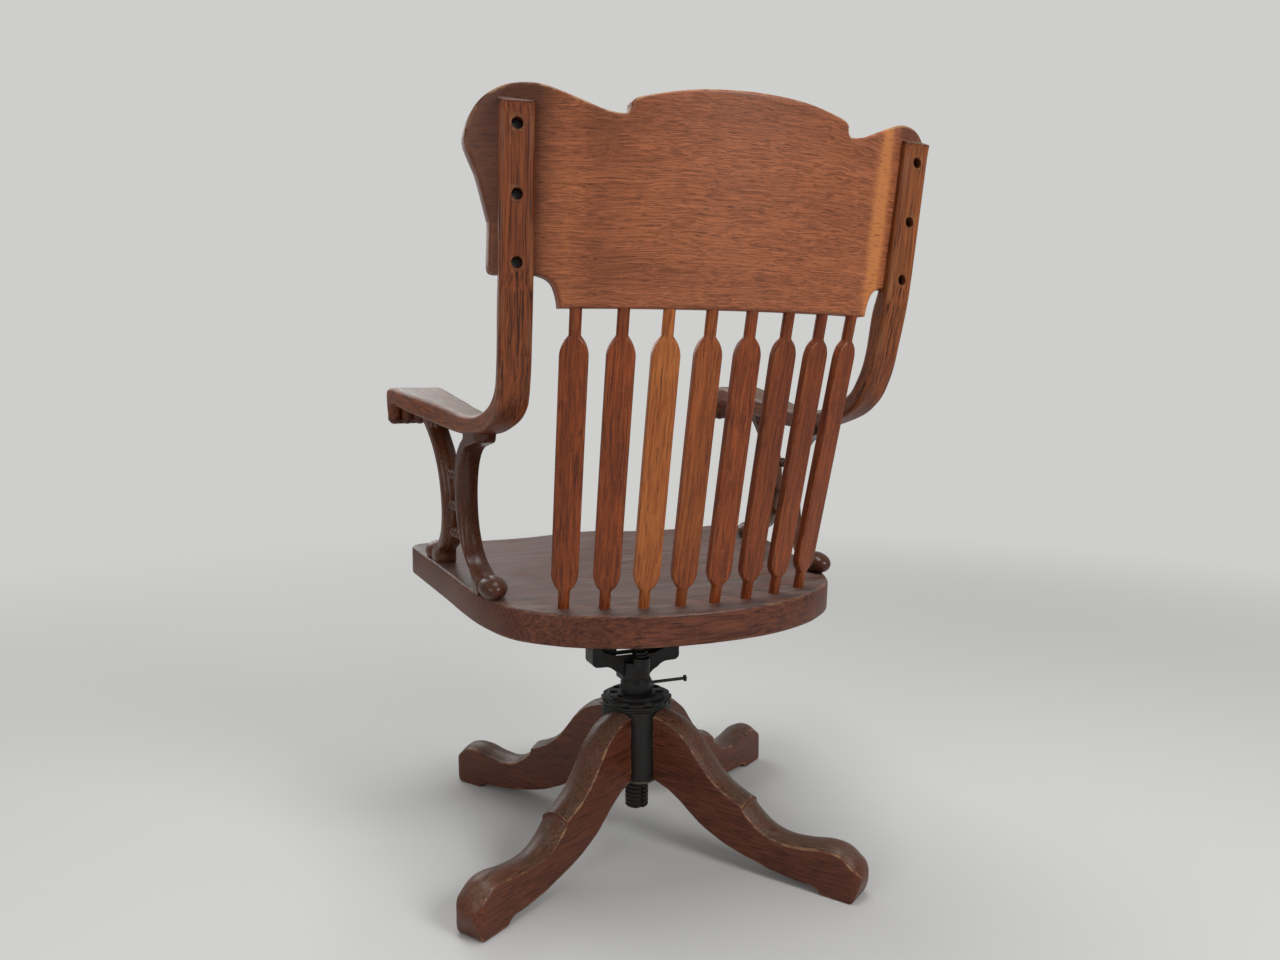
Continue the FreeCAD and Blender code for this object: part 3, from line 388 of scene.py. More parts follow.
def oak(name, dark, light, honey_and_highlight, worn, rays=0.25, pores=0.6, gloss=0.42, wear=0.5, wavy=0.004,
        lines=420.0, fine_mix=0.8, dashes=(45.0, 520.0), on_top=None, top_share=1.0, plain=False):
    """Old varnished oak: drawn-out grain, open pores, ray fleck and bare wood on worn edges."""
    material = bpy.data.materials.new(name)
    material.use_nodes = True
    tree = material.node_tree
    shader = tree.nodes["Principled BSDF"]
    if plain:
        grain = add_node(tree, "ShaderNodeTexCoord", (-1500, 0)).outputs["Object"]
    else:
        grain = attribute(tree, "grain", "Vector", (-1500, 0))
    tone = attribute(tree, "tone", "Fac", (-1500, -300))
    edge = attribute(tree, "wear", "Fac", (-1500, -500))
    sway = add_node(tree, "ShaderNodeTexNoise", (-1300, 200),
                    {"Vector": scaled(tree, grain, (14.0, 30.0, 30.0), (-1450, 200)), "Scale": 1.0,
                     "Detail": 2.0})
    centred = add_node(tree, "ShaderNodeVectorMath", (-1150, 200),
                       {0: sway.outputs["Color"], 1: (0.5, 0.5, 0.5)}, operation="SUBTRACT")
    moved = scaled(tree, centred.outputs[0], (0.0, wavy * 2, wavy * 2), (-1000, 200))
    swayed = add_node(tree, "ShaderNodeVectorMath", (-850, 200), {0: grain, 1: moved},
                      operation="ADD").outputs[0]
    fine = cloudy(tree, swayed, (16.0, lines, lines), (-650, 300), 4.0, 0.62)
    broad = cloudy(tree, swayed, (2.6, 24.0, 24.0), (-650, 100), 3.0)
    pore = cloudy(tree, swayed, (dashes[0], dashes[1], dashes[1]), (-650, -100), 2.0, 0.6)
    fleck = cloudy(tree, grain, (190.0, 60.0, 60.0), (-650, -300), 2.0)
    fine_share = between(tree, fine, 0.30, 0.70, (-450, 300), 0.5 - fine_mix / 2,
                         0.5 + fine_mix / 2)
    colour = blend_colours(tree, fine_share, dark, light, (-250, 300))
    broad_share = between(tree, broad, 0.35, 0.75, (-450, 100), 0.0, 0.42)
    colour = blend_colours(tree, broad_share, colour, dark, (-100, 250))
    ray_share = between(tree, fleck, 0.58, 0.70, (-450, -300), 0.0, rays)
    colour = blend_colours(tree, ray_share, colour, light, (50, 200))
    # Positive tone warms the colour towards honey and negative tone darkens it; on the crest and
    # the posts this is painted highlight and painted shade, elsewhere random tone
    warm = between(tree, tone, 0.0, 1.0, (-450, -420))
    warmth_and_highlight = blend_colours(tree, fine_share, light, honey_and_highlight, (100, 60))
    colour = blend_colours(tree, warm, colour, warmth_and_highlight, (200, 150))
    deep = between(tree, tone, 0.0, -1.0, (-450, -560), 0.0, 0.85)
    dim = blend_colours(tree, 0.5, dark, (0.0, 0.0, 0.0), (100, -100))
    colour = blend_colours(tree, deep, colour, dim, (350, 100))
    pore_share = between(tree, pore, 0.34, 0.45, (-450, -100), pores, 0.0)
    pit = tuple(c * 0.22 for c in dark)
    colour = blend_colours(tree, pore_share, colour, pit, (500, 50))
    rough = between(tree, fine, 0.3, 0.7, (300, -300), gloss - 0.05, gloss + 0.10)
    # Upward faces turn grey: weathered grey on the arms and leg tops, and a painted reflection
    # (sheen) on the seat's top
    if on_top is not None:
        up = add_node(tree, "ShaderNodeNewGeometry", (-650, -950)).outputs["Normal"]
        height = add_node(tree, "ShaderNodeSeparateXYZ", (-450, -950), {0: up}).outputs[2]
        mottle = cloudy(tree, grain, (9.0, 70.0, 70.0), (-650, -1150), 4.0)
        facing = between(tree, height, 0.35, 0.9, (-250, -950))
        weathering_and_sheen = sums(tree, "MULTIPLY", facing, between(tree, mottle, 0.25, 0.65, (-250, -1150),
                                                       0.3 * top_share, top_share), (-100, -1000))
        not_deep = between(tree, tone, -0.9, -0.35, (-250, -1350))
        weathering_and_sheen = sums(tree, "MULTIPLY", weathering_and_sheen, not_deep, (100, -1100))
        grey_dark = tuple(c * 0.42 for c in on_top)
        grey = blend_colours(tree, fine_share, grey_dark, on_top, (600, -250))
        grey = blend_colours(tree, pore_share, grey, tuple(c * 0.18 for c in on_top), (700, -250))
        colour = blend_colours(tree, weathering_and_sheen, colour, grey, (800, -50))
    patch = cloudy(tree, grain, (34.0, 60.0, 60.0), (-650, -700), 4.0, 0.65)
    patchy = between(tree, patch, 0.38, 0.66, (-450, -700))
    rubbed = sums(tree, "MULTIPLY", edge, patchy, (-250, -700))
    rub_share = between(tree, rubbed, 0.12, 0.75, (-100, -700), 0.0, wear)
    colour = blend_colours(tree, rub_share, colour, worn, (950, 0))
    tree.links.new(colour, shader.inputs["Base Color"])
    rubbed_matt = sums(tree, "MULTIPLY", rub_share, 0.15, (450, -350))
    rough = sums(tree, "ADD", rough, rubbed_matt, (600, -350))
    tree.links.new(rough, shader.inputs["Roughness"])
    relief = sums(tree, "SUBTRACT", sums(tree, "MULTIPLY", fine, 0.35, (300, -500)), pore_share,
                  (450, -500))
    bump = add_node(tree, "ShaderNodeBump", (650, -500), {"Height": relief, "Strength": 0.25,
                                                         "Distance": 0.0004})
    tree.links.new(bump.outputs[0], shader.inputs["Normal"])
    shader.inputs["Specular IOR Level"].default_value = 0.26
    shader.inputs["Coat Weight"].default_value = 0.05
    shader.inputs["Coat Roughness"].default_value = 0.2
    return material


def cast_iron(name, colour, rust=0.25, rough=0.5):
    """Old black iron: a pitted skin, brown in places and a little brighter where it rubs."""
    material = bpy.data.materials.new(name)
    material.use_nodes = True
    tree = material.node_tree
    shader = tree.nodes["Principled BSDF"]
    place = add_node(tree, "ShaderNodeTexCoord", (-900, 0)).outputs["Object"]
    pits = cloudy(tree, place, (420.0, 420.0, 420.0), (-500, 200), 4.0, 0.6)
    patch = cloudy(tree, place, (46.0, 46.0, 46.0), (-500, 0), 4.0, 0.6)
    brown = tuple(min(c * k, 1.0) for c, k in zip(colour, (4.6, 3.0, 2.0)))
    grey = tuple(c * 2.6 for c in colour)
    share = between(tree, patch, 0.46, 0.72, (-300, 0), 0.0, rust)
    tint = blend_colours(tree, share, colour, brown, (-100, 100))
    bright = between(tree, pits, 0.5, 0.8, (-300, 200), 0.0, 0.5)
    tint = blend_colours(tree, bright, tint, grey, (50, 100))
    tree.links.new(tint, shader.inputs["Base Color"])
    tree.links.new(between(tree, patch, 0.3, 0.7, (-100, -100), rough - 0.1, rough + 0.12),
                   shader.inputs["Roughness"])
    bump = add_node(tree, "ShaderNodeBump", (50, -250), {"Height": pits, "Strength": 0.2,
                                                        "Distance": 0.0006})
    tree.links.new(bump.outputs[0], shader.inputs["Normal"])
    shader.inputs["Metallic"].default_value = 0.35
    return material


def flat_finish(name, colour, rough):
    material = bpy.data.materials.new(name)
    material.use_nodes = True
    shader = material.node_tree.nodes["Principled BSDF"]
    shader.inputs["Base Color"].default_value = (*colour, 1.0)
    shader.inputs["Roughness"].default_value = rough
    return material


FINISHES = {}


def finish(name):
    if not FINISHES:
        mix_finishes()
    return FINISHES[name]


def mix_finishes():
    c = bpy.context.scene.chair_colours
    honey_and_highlight, bare, grey = tuple(c.honey_and_highlight), tuple(c.bare), tuple(c.weathered)
    FINISHES["crest_oak"] = oak("Crest oak", tuple(c.crest_dark), tuple(c.crest_light), honey_and_highlight, bare,
                                rays=0.12, pores=0.5, gloss=0.42, wavy=0.005, lines=950.0,
                                fine_mix=0.8, dashes=(70.0, 900.0), wear=0.8)
    FINISHES["arm_oak"] = oak("Arm oak", tuple(c.post_dark), tuple(c.post_light), honey_and_highlight, bare,
                              rays=0.1, pores=0.85, gloss=0.44, lines=420.0, wear=0.3,
                              dashes=(20.0, 480.0), on_top=grey)
    FINISHES["spindle_oak"] = oak("Spindle oak", tuple(c.blade_dark), tuple(c.blade_light), honey_and_highlight,
                                  bare, rays=0.2, pores=0.55, gloss=0.38, lines=400.0, wear=0.15,
                                  fine_mix=0.7, dashes=(14.0, 800.0))
    # The seat's upward faces take the painted grey reflection
    FINISHES["seat_oak"] = oak("Seat oak", tuple(c.leg_dark), tuple(c.leg_light), honey_and_highlight, bare,
                               rays=0.2, pores=0.6, gloss=0.42, lines=260.0, wear=0.3,
                               dashes=(16.0, 330.0), on_top=tuple(c.seat_top_sheen))
    FINISHES["scroll_oak"] = oak("Scroll oak", tuple(c.scroll_dark), tuple(c.scroll_light), honey_and_highlight,
                                 (0.26, 0.14, 0.075), rays=0.1, pores=0.3, gloss=0.28, lines=420.0,
                                 wear=0.15, fine_mix=0.5, dashes=(30.0, 500.0))
    FINISHES["leg_oak"] = oak("Leg oak", tuple(c.leg_dark), tuple(c.leg_light), honey_and_highlight, bare,
                              rays=0.15, pores=0.6, gloss=0.38, lines=420.0, wear=0.55,
                              fine_mix=0.6, dashes=(40.0, 480.0), on_top=grey, top_share=0.75)
    FINISHES["dowel_wood"] = oak("Dowel wood", (0.3, 0.2, 0.11), (0.5, 0.36, 0.2), honey_and_highlight, bare,
                                 plain=True)
    FINISHES["worn_plate"] = cast_iron("Worn plate", (0.07, 0.062, 0.045), rust=0.4, rough=0.45)
    FINISHES["dark_iron"] = cast_iron("Black iron", tuple(c.iron))
    FINISHES["worn_iron"] = cast_iron("Worn iron", tuple(c.worn_iron), rust=0.5, rough=0.45)
    FINISHES["spring_steel"] = cast_iron("Spring steel", tuple(c.worn_iron), rust=0.2, rough=0.4)
    FINISHES["screw_steel"] = cast_iron("Screw steel", tuple(c.worn_iron), rust=0.6, rough=0.45)
    FINISHES["black_rubber"] = flat_finish("Black rubber", (0.012, 0.012, 0.012), 0.75)


# Pieces

def pair_run(pairs):
    """Stations of a sawn or bent piece as two smooth runs of (y, z) in metres."""
    low = [(a * MM, b * MM, 0.0) for a, b, c, d in pairs]
    high = [(c * MM, d * MM, 0.0) for a, b, c, d in pairs]
    return low, high


def from_table(table, place):
    """Straight-line reading of a falling table of (place, value)."""
    if place >= table[0][0]:
        return table[0][1]
    for (p1, v1), (p0, v0) in zip(table, table[1:]):
        if place >= p0:
            return v0 + (v1 - v0) * (place - p0) / (p1 - p0)
    return table[-1][1]


POST_PAIRS = (
    (318.6, 975, 295.6, 985), (317.2, 970, 294.3, 975), (314, 953, 291, 956), (303, 882, 280, 882),
    (292, 812, 269, 812), (284, 772, 255, 772), (272, 729, 246, 729), (265, 705, 238, 704),
    (256, 684, 228, 686), (243, 663, 216, 672), (227, 649, 203, 664), (205, 638, 184, 655.5),
    (174, 629, 158, 649), (131, 620, 125, 643.5), (87, 616, 90, 641.5), (50, 616.5, 52, 643),
    (15, 618.5, 20, 647), (-20, 622.5, -15, 651), (-60, 628, -56, 657), (-90, 632.5, -87, 661),
    (-140, 640, -135, 667.5), (-185, 647.5, -180, 673.5), (-215, 652, -212, 677.5),
    (-226, 648, -240, 677), (-229, 640, -256, 669), (-231, 632, -264, 655),
    (-233.5, 626, -265.5, 640), (-236, 622, -263, 626), (-240, 620, -258, 620.5))
ARM_OUTER = ((230, 262.5), (200, 262.5), (150, 264), (100, 268), (50, 273), (0, 279), (-60, 291),
             (-120, 306), (-180, 319), (-225, 326), (-238, 327), (-247, 325.5), (-254, 322.5),
             (-259, 318.5), (-263, 313), (-267, 304))
ARM_INNER = ((230, 224.7), (200, 224.5), (150, 226), (100, 230), (50, 232), (0, 234.5), (-60, 237),
             (-120, 240), (-180, 243), (-225, 246), (-245, 247), (-255, 249), (-261, 252),
             (-267, 258))
REAR_PAIRS = (
    (60, 633, 124, 633), (60, 622, 124, 622), (60, 611, 124, 616), (47, 604, 117, 607.5),
    (36, 596, 92, 603), (28, 588, 75, 600), (20, 577, 60, 592), (14, 562, 46, 576),
    (9, 544, 37, 557), (7, 523, 31, 536), (8, 502, 29, 513), (13, 482, 31, 490), (22, 466, 36, 470),
    (34, 453, 44, 454), (46, 443, 56, 442), (57, 434, 72, 434), (64, 424, 84, 430),
    (70, 412, 94, 427), (78, 405, 102, 421), (86, 404, 106, 412))
FRONT_PAIRS = (
    (-140, 646, -96, 646), (-139, 631, -96, 622), (-127, 622, -91, 614), (-114, 612, -84, 607),
    (-101, 600, -74, 597), (-90, 588, -64, 586), (-81, 575, -56, 574), (-73, 560, -49, 560),
    (-68, 545, -44.5, 545), (-65, 523, -41, 523), (-66, 500, -42, 500), (-73, 477, -47, 478),
    (-84, 461, -56, 462), (-100, 449, -70, 448), (-112, 444, -86, 440), (-122, 440.5, -93, 436),
    (-129, 434, -97, 430), (-132, 426, -98, 421), (-133, 420, -101, 415))
LEG_PAIRS = (
    (44, 97, 44, 200), (57, 92.5, 52, 199.6), (70, 88, 60, 198), (82, 81, 72, 194),
    (93, 74, 86, 187), (110, 61, 104, 172), (127, 49, 121, 151), (144, 40.5, 139, 131),
    (161, 33, 158, 116), (178, 27.5, 178, 106), (190, 24.2, 192, 100.6), (193, 23.5, 195, 99.2),
    (197, 22.6, 195.4, 94), (207, 20.3, 207, 83), (221, 17.4, 221, 73), (238, 13.5, 238, 66),
    (260, 11, 260, 63), (285, 9, 286, 65), (299, 9, 300, 67.5), (306, 6, 313, 70),
    (312, 1, 324, 70.7), (316, 0, 334, 70), (325, 0, 343, 67.4), (334, 0, 350, 63),
    (342, 0, 357, 57), (348, 0, 361, 52), (352, 0, 365.5, 44), (355, 0, 368, 36),
    (357.5, 1.2, 367.6, 28), (358.6, 2.6, 366, 22), (359.6, 4, 363, 13))
CREST_SIDE = ((281, 881), (288, 907), (294, 922), (300, 938), (301, 949), (296, 968), (287, 982),
              (275, 991), (261, 996.5), (244, 998), (227, 996), (207, 989), (187, 981),
              (166, 972.5), (152, 969), (141, 968))


def board_skin(bm, pairs, around, along, half_width, corner, to_space, crown=lambda v: 0.0,
               carve=None):
    """Skin of a piece sawn or bent between two runs of points, with rounded long edges."""
    low, high = pair_run(pairs)

    def place(u, v):
        a, b = glide(low, v), glide(high, v)
        middle = (a + b) / 2
        half = (b - a).length / 2
        end = min(v, 1 - v) / 0.008
        ease = 1.0 if end > 1 else 0.90 + 0.10 * math.sqrt(max(1 - (1 - end) ** 2, 0.0))
        wide = half_width(middle.x / MM, v) * MM
        edge = min(corner * MM, half * 0.75, wide * 0.6)
        x, t = section_point(u, wide * ease, half * (0.5 + ease / 2), edge, crown(v) * MM)
        cut = carve(x / wide, v) if carve else 0.0
        spot = middle + (b - a).normalized() * t * (1 - 0.45 * cut)
        spot.y += 9 * MM * cut * soft_step(0.88, 1.0, v)
        return to_space(x, spot.x, spot.y), Vector((v * 0.9, x, t))

    wrap_skin(bm, around, along, place)


def mirror_piece(bm):
    bmesh.ops.scale(bm, verts=bm.verts, vec=(-1, 1, 1))
    bmesh.ops.recalc_face_normals(bm, faces=bm.faces)


def whole_outline(right, gap, lay):
    """The right half of an outline and its mirror, without points nearer than the gap."""
    outline = []
    for point in right + [Vector((-p.x, p.y, 0.0)) for p in reversed(right)]:
        spot = lay(point.x * MM, point.y * MM)
        if not outline or (spot - outline[-1]).length > gap:
            outline.append(spot)
    return outline


class ARMCHAIR_OT_crest(bpy.types.Operator):
    """Saw, round and bend the back panel"""
    bl_idname = "armchair.crest"
    bl_label = "Back panel"

    def execute(self, context):
        sizes = context.scene.chair_sizes
        half = sizes.crest_thick / 2
        shoulder = [(201, 765), (202.5, 775), (207, 789), (214, 796.5), (224, 800.5)]
        corner = [(267, 802), (271.5, 803.2), (274, 806.5), (275, 812)]
        top = [(136, 979), (130, 984), (114, 988), (82, 993.5), (48, 997), (0, 998.5)]
        runs = (shoulder, corner, [(275, 858)] + list(CREST_SIDE),
                [(141, 968), (137.5, 970.5), (135.8, 975), (136, 979)], top)
        right = []
        for run, steps in zip(runs, (10, 6, 70, 5, 24)):
            points = [(x, z, 0.0) for x, z in run]
            right += [glide(points, k / steps) for k in range(steps + 1)]
        outline = whole_outline(right, 0.8 * MM, lambda x, z: Vector((x, -half, z)))
        bm = start_piece()
        slab(bm, outline, Vector((0, 2 * half, 0)), sizes.crest_round)
        slice_up(bm, 0, -0.29, 0.29, 0.008)
        slice_up(bm, 2, 0.775, 0.995, 0.012)
        mark_grain(bm, (1, 0, 0), 0.4)
        mark_tone(bm, self.tone)
        upright = math.sqrt(1 + BACK_LEAN ** 2)
        radius = BACK_RADIUS * MM
        for vert in bm.verts:
            x, t, z = vert.co
            bend = math.sqrt((radius + t) ** 2 - x * x) * upright
            vert.co.y = BACK_PLACE * MM - radius * upright + bend + BACK_LEAN * (z - BACK_FOOT * MM)
        bmesh.ops.recalc_face_normals(bm, faces=bm.faces)
        finish_piece(bm, "crest_panel_wood", "seat_body", ["crest_panel"],
                     finish("crest_oak"), lambda p: 0.12 + 0.88 * soft_step(0.85, 0.94, p.z))
        return {"FINISHED"}

    def tone(self, place):
        x, z = place.x / MM, place.z / MM
        # Painted highlight: two warm bands at the panel's bends. Painted shade: the +X (left) part
        # and both ends beside the posts. The panel also darkens towards the top, and the streak is
        # random tone.
        warmth_and_highlight = 1.3 * math.exp(-((x + 205) / 13) ** 2) + 0.5 * math.exp(-((x - 196) / 14) ** 2)
        shade = -0.30 * soft_step(100, 170, x) - 0.35 * soft_step(216, 232, x)
        shade -= 0.35 * soft_step(925, 1000, z) + 0.3 * soft_step(222, 232, -x)
        streak = noise.noise(Vector((x * 0.006, 0.0, z * 0.03))) * 0.22
        return warmth_and_highlight + shade + streak


def post_to_space(x, y, z):
    """Sideways, rearwards and up on the +X post, whose faces are toed outwards."""
    slew = math.tan(TOE)
    return Vector((x, y - (x - 0.254) * slew, z))


def plan_middle(y):
    if y > 230:
        return 254 - (314 - y) * math.tan(TOE)
    return (from_table(ARM_OUTER, y) + from_table(ARM_INNER, y)) / 2


def knuckles(share, v):
    """How far the flutes between the four knuckles on the arm's end are cut in."""
    lobe = ((share + 1) * 2) % 1.0
    return soft_step(0.79, 0.86, v) * (1 - math.sqrt(max(1 - (2 * lobe - 1) ** 2, 0.0)))


class ARMCHAIR_OT_arm_posts(bpy.types.Operator):
    """Bend the posts that sweep forward into the arms, and carve their ends"""
    bl_idname = "armchair.arm_posts"
    bl_label = "Posts and arms"

    def execute(self, context):
        sizes = context.scene.chair_sizes
        post_half = sizes.post_width / MM / 2

        def half_width(y, v):
            if y > 230:
                return post_half
            return (from_table(ARM_OUTER, y) - from_table(ARM_INNER, y)) / 2

        def to_space(x, y, z):
            return post_to_space(x + plan_middle(y / MM) * MM, y, z)

        for side in (1, -1):
            bm = start_piece()
            board_skin(bm, POST_PAIRS, 96, 260, half_width, sizes.arm_round / MM, to_space,
                       carve=knuckles)
            out = Vector((math.sin(TOE), math.cos(TOE), 0))
            for y, z in POST_HOLES:
                bore(bm, to_space(0.0, y * MM, z * MM), out, HOLE_RADIUS * MM, HOLE_DEPTH * MM)
            # Painted shade on the upper left post and painted light on the upper right post;
            # painted shade under the arm's curled front end. The top end is darker, and the noise
            # is random tone.
            shade = -0.15 if side > 0 else 0.22
            mark_tone(bm, lambda p: shade * soft_step(0.66, 0.76, p.z)
                      - 0.8 * soft_step(0.973, 0.976, p.z)
                      - 0.6 * soft_step(0.160, 0.172, -p.y) * soft_step(-0.645, -0.625, -p.z)
                      + 0.25 * noise.noise(Vector((p.x * 20, p.y * 5, p.z * 5))))
            if side < 0:
                mirror_piece(bm)
            name = "left_arm_post" if side > 0 else "right_arm_post"
            finish_piece(bm, name + "_wood", "seat_body", [name], finish("arm_oak"))
        return {"FINISHED"}


def spindle_ends(i):
    """Both ends of a spindle's middle line, with its dowels."""
    place = i - SPINDLE_MIDDLE
    x0, x1 = place * SEAT_SPACING, place * BACK_SPACING
    y0 = SPINDLE_REAR - SEAT_BOW * (x0 / 100) ** 2
    radius = 100 ** 2 / (2 * BACK_BOW)
    sag = radius - math.sqrt(radius ** 2 - x1 ** 2)
    y1 = BACK_PLACE - sag * math.sqrt(1 + BACK_LEAN ** 2)
    low = Vector((x0, y0, seat_plane(y0))) * MM
    high = Vector((x1, y1, BACK_FOOT)) * MM
    run = (high - low).normalized()
    return low - run * SEAT_DOWEL, high + run * BACK_DOWEL


class ARMCHAIR_OT_spindles(bpy.types.Operator):
    """Shape the eight flat spindles with their round ends"""
    bl_idname = "armchair.spindles"
    bl_label = "Back spindles"

    def execute(self, context):
        sizes = context.scene.chair_sizes
        tones = (-0.12, -0.15, -0.28, 0.0, 0.25, 0.5, -0.25, -0.15)
        for i, tone in enumerate(tones):
            bm = start_piece()
            self.blade(bm, i, sizes)
            mark_tone(bm, lambda p: tone + 0.12 * noise.noise(p * 9))
            name = "back_spindle_%d" % (i + 1)
            finish_piece(bm, name + "_wood", "seat_body", [name],
                         finish("spindle_oak"))
        return {"FINISHED"}

    def blade(self, bm, i, sizes):
        low, high = spindle_ends(i)
        axis = high - low
        reach = axis.length
        axis.normalize()
        bow = (SEAT_BOW + BACK_BOW) / 2
        spacing = (SEAT_SPACING + BACK_SPACING) / 2
        yaw = -math.atan(2 * bow * (i - SPINDLE_MIDDLE) * spacing / 10000)
        across = Vector((math.cos(yaw), math.sin(yaw), 0))
        across = (across - axis * across.dot(axis)).normalized()
        out = axis.cross(across)
        round_end = sizes.dowel_width / 2
        half_wide, half_thick = sizes.blade_width / 2, sizes.blade_thick / 2

        def place(u, v):
            s = reach * v
            from_end = min(s - SPINDLE_NECK, reach - SPINDLE_NECK - s)
            t = min(max(from_end / NECK_SWELL, 0.0), 1.0)
            swell = math.sin(math.pi / 2 * t) ** 0.8 if t > 0 else 0.0
            wide = round_end + (half_wide - round_end) * swell
            thick = round_end + (half_thick - round_end) * swell
            square = 2 / (2 + 4.5 * soft_step(0.0, 0.45, t))
            a = 2 * math.pi * u
            x = wide * math.copysign(abs(math.cos(a)) ** square, math.cos(a))
            y = thick * math.copysign(abs(math.sin(a)) ** square, math.sin(a))
            return low + axis * s + across * x + out * y, Vector((s + i * 0.7, x + i * 0.31, y))

        wrap_skin(bm, 48, 180, place)


class ARMCHAIR_OT_seat(bpy.types.Operator):
    """Saw, round and hollow the seat"""
    bl_idname = "armchair.seat"
    bl_label = "Seat"

    def execute(self, context):
        sizes = context.scene.chair_sizes
        top = SEAT_REAR * MM
        side = [(0, 256), (50, 253.4), (100, 245), (145, 229), (185, 207), (230, 165), (254, 105),
                (266, 40), (275, -40), (285, -120), (297, -215)]
        front = [(297, -215), (295.5, -230), (290, -238), (282, -243.5), (272, -246)]
        nose = [(272, -246), (205, -253), (140, -258), (70, -261), (0, -262)]
        right = []
        for run, steps in ((side, 70), (front, 9), (nose, 26)):
            right += [glide([(x, y, 0.0) for x, y in run], k / steps) for k in range(steps + 1)]
        gap = 1.2 * MM
        outline = whole_outline(right, gap, lambda x, y: Vector((x, y, top)))
        if (outline[0] - outline[-1]).length < gap:
            outline.pop()
        bm = start_piece()
        slab(bm, outline, Vector((0, 0, -sizes.seat_thick)), SEAT_ROUND * MM)
        slice_up(bm, 0, -0.29, 0.29, 0.010)
        slice_up(bm, 1, -0.25, 0.25, 0.010)
        mark_grain(bm, (1, 0, 0), 0.2)
        mark_tone(bm, lambda p: self.board(p.y))
        turn = Matrix.Rotation(-math.atan(SEAT_SLOPE), 4, "X")
        pivot = Vector((0, SEAT_REAR_PLACE * MM, top))
        for vert in bm.verts:
            x, y, z = vert.co
            depth = self.hollow(x / MM, y / MM, sizes) * MM
            vert.co.z -= depth * soft_step(-0.030, -0.007, z - top)
            vert.co = turn @ (vert.co - pivot) + pivot
        bmesh.ops.recalc_face_normals(bm, faces=bm.faces)
        finish_piece(bm, "seat_wood", "seat_body", ["seat"], finish("seat_oak"))
        return {"FINISHED"}

    def board(self, y):
        return 0.18 * noise.noise(Vector((math.floor((y + 0.31) / BOARD_WIDTH) * 3.7, 0.5, 0.5)))

    def hollow(self, x, y, sizes):
        deep = sizes.dish_depth / MM
        parts = [deep * (1 - (x * x + (y + 12) ** 2) / 188 ** 2)]
        for side in (-1, 1):
            parts.append(9 * (1 - ((x - side * 128) ** 2 + (y + 150) ** 2) / 150 ** 2))
        return sum(max(p, 0.0) ** 4 for p in parts) ** 0.25


class ARMCHAIR_OT_scrolls(bpy.types.Operator):
    """Saw and round the scrolled supports under the arms, with the beads between them"""
    bl_idname = "armchair.scrolls"
    bl_label = "Arm supports"

    def execute(self, context):
        sizes = context.scene.chair_sizes
        half = sizes.support_width / MM / 2

        def to_space(x, y, z):
            middle = 253.5 - 0.096 * (y / MM) + 0.04 * (z / MM - 410)
            return Vector((x + middle * MM, y, z))

        kinds = (("rear_support", REAR_PAIRS, (112, 418.5), (27, 15.5)),
                 ("front_support", FRONT_PAIRS, (-149, 428.5), (24, 15.5)))
        for side, hand in ((1, "left"), (-1, "right")):
            for kind, pairs, ball, reach in kinds:
                bm = start_piece()
                board_skin(bm, pairs, 72, 200, lambda y, v: half + 1.5 * soft_step(0.7, 0.9, v),
                           7.5, to_space, crown=lambda v: 2.5)
                self.foot_ball(bm, ball, reach, to_space)
                mark_grain(bm, (0, 0, 1), 0.3)
                shade = -0.35 if kind == "rear_support" else 0.1
                mark_tone(bm, lambda p: shade + 0.2 * noise.noise(p * 12))
                if side < 0:
                    mirror_piece(bm)
                name = "%s_%s" % (hand, kind)
                finish_piece(bm, name + "_wood", "seat_body", [name],
                             finish("scroll_oak"))
            bm = start_piece()
            self.bead_rows(bm, sizes.bead_radius, to_space)
            if side < 0:
                mirror_piece(bm)
            name = "%s_support_beads" % hand
            mark_grain(bm, (0, 1, 0), 0.5)
            mark_tone(bm, lambda p: -0.3)
            finish_piece(bm, name + "_wood", "seat_body", [name],
                         finish("scroll_oak"))
        return {"FINISHED"}

    def foot_ball(self, bm, ball, reach, to_space):
        """The ball that the scroll ends in, flat where it stands on the seat."""
        centre = to_space(0.0, ball[0] * MM, ball[1] * MM)
        sphere = bmesh.ops.create_uvsphere(bm, u_segments=48, v_segments=28, radius=1.0)["verts"]
        spread = Matrix.Diagonal((18.5 * MM, reach[0] * MM, reach[1] * MM, 1.0))
        tilt = Matrix.Rotation(-SEAT_SLOPE, 4, "X")
        bmesh.ops.transform(bm, matrix=Matrix.Translation(centre) @ tilt @ spread, verts=sphere)
        for vert in sphere:
            floor = seat_plane(vert.co.y / MM) * MM
            vert.co.z = max(vert.co.z, floor)

    def bead_rows(self, bm, radius, to_space):
        for z, start, end in BEAD_ROWS:
            a = to_space(BEAD_OFFSET * MM, -60 * MM, z * MM)
            b = to_space(BEAD_OFFSET * MM, 25 * MM, z * MM)
            reach = (b - a).length
            axis = (b - a).normalized()
            profile = [(start * MM, ROD_RADIUS * MM)]
            for k in range(61):
                s = (start + (end - start) * k / 60) * MM
                width = ROD_RADIUS * MM
                for share in BEAD_SHARES:
                    off = s - reach * share
                    width = max(width, math.sqrt(max(radius * radius - off * off, 0.0)))
                profile.append((s, width))
            profile.append((end * MM, 0.0))
            turn_on_lathe(bm, profile, a, axis)


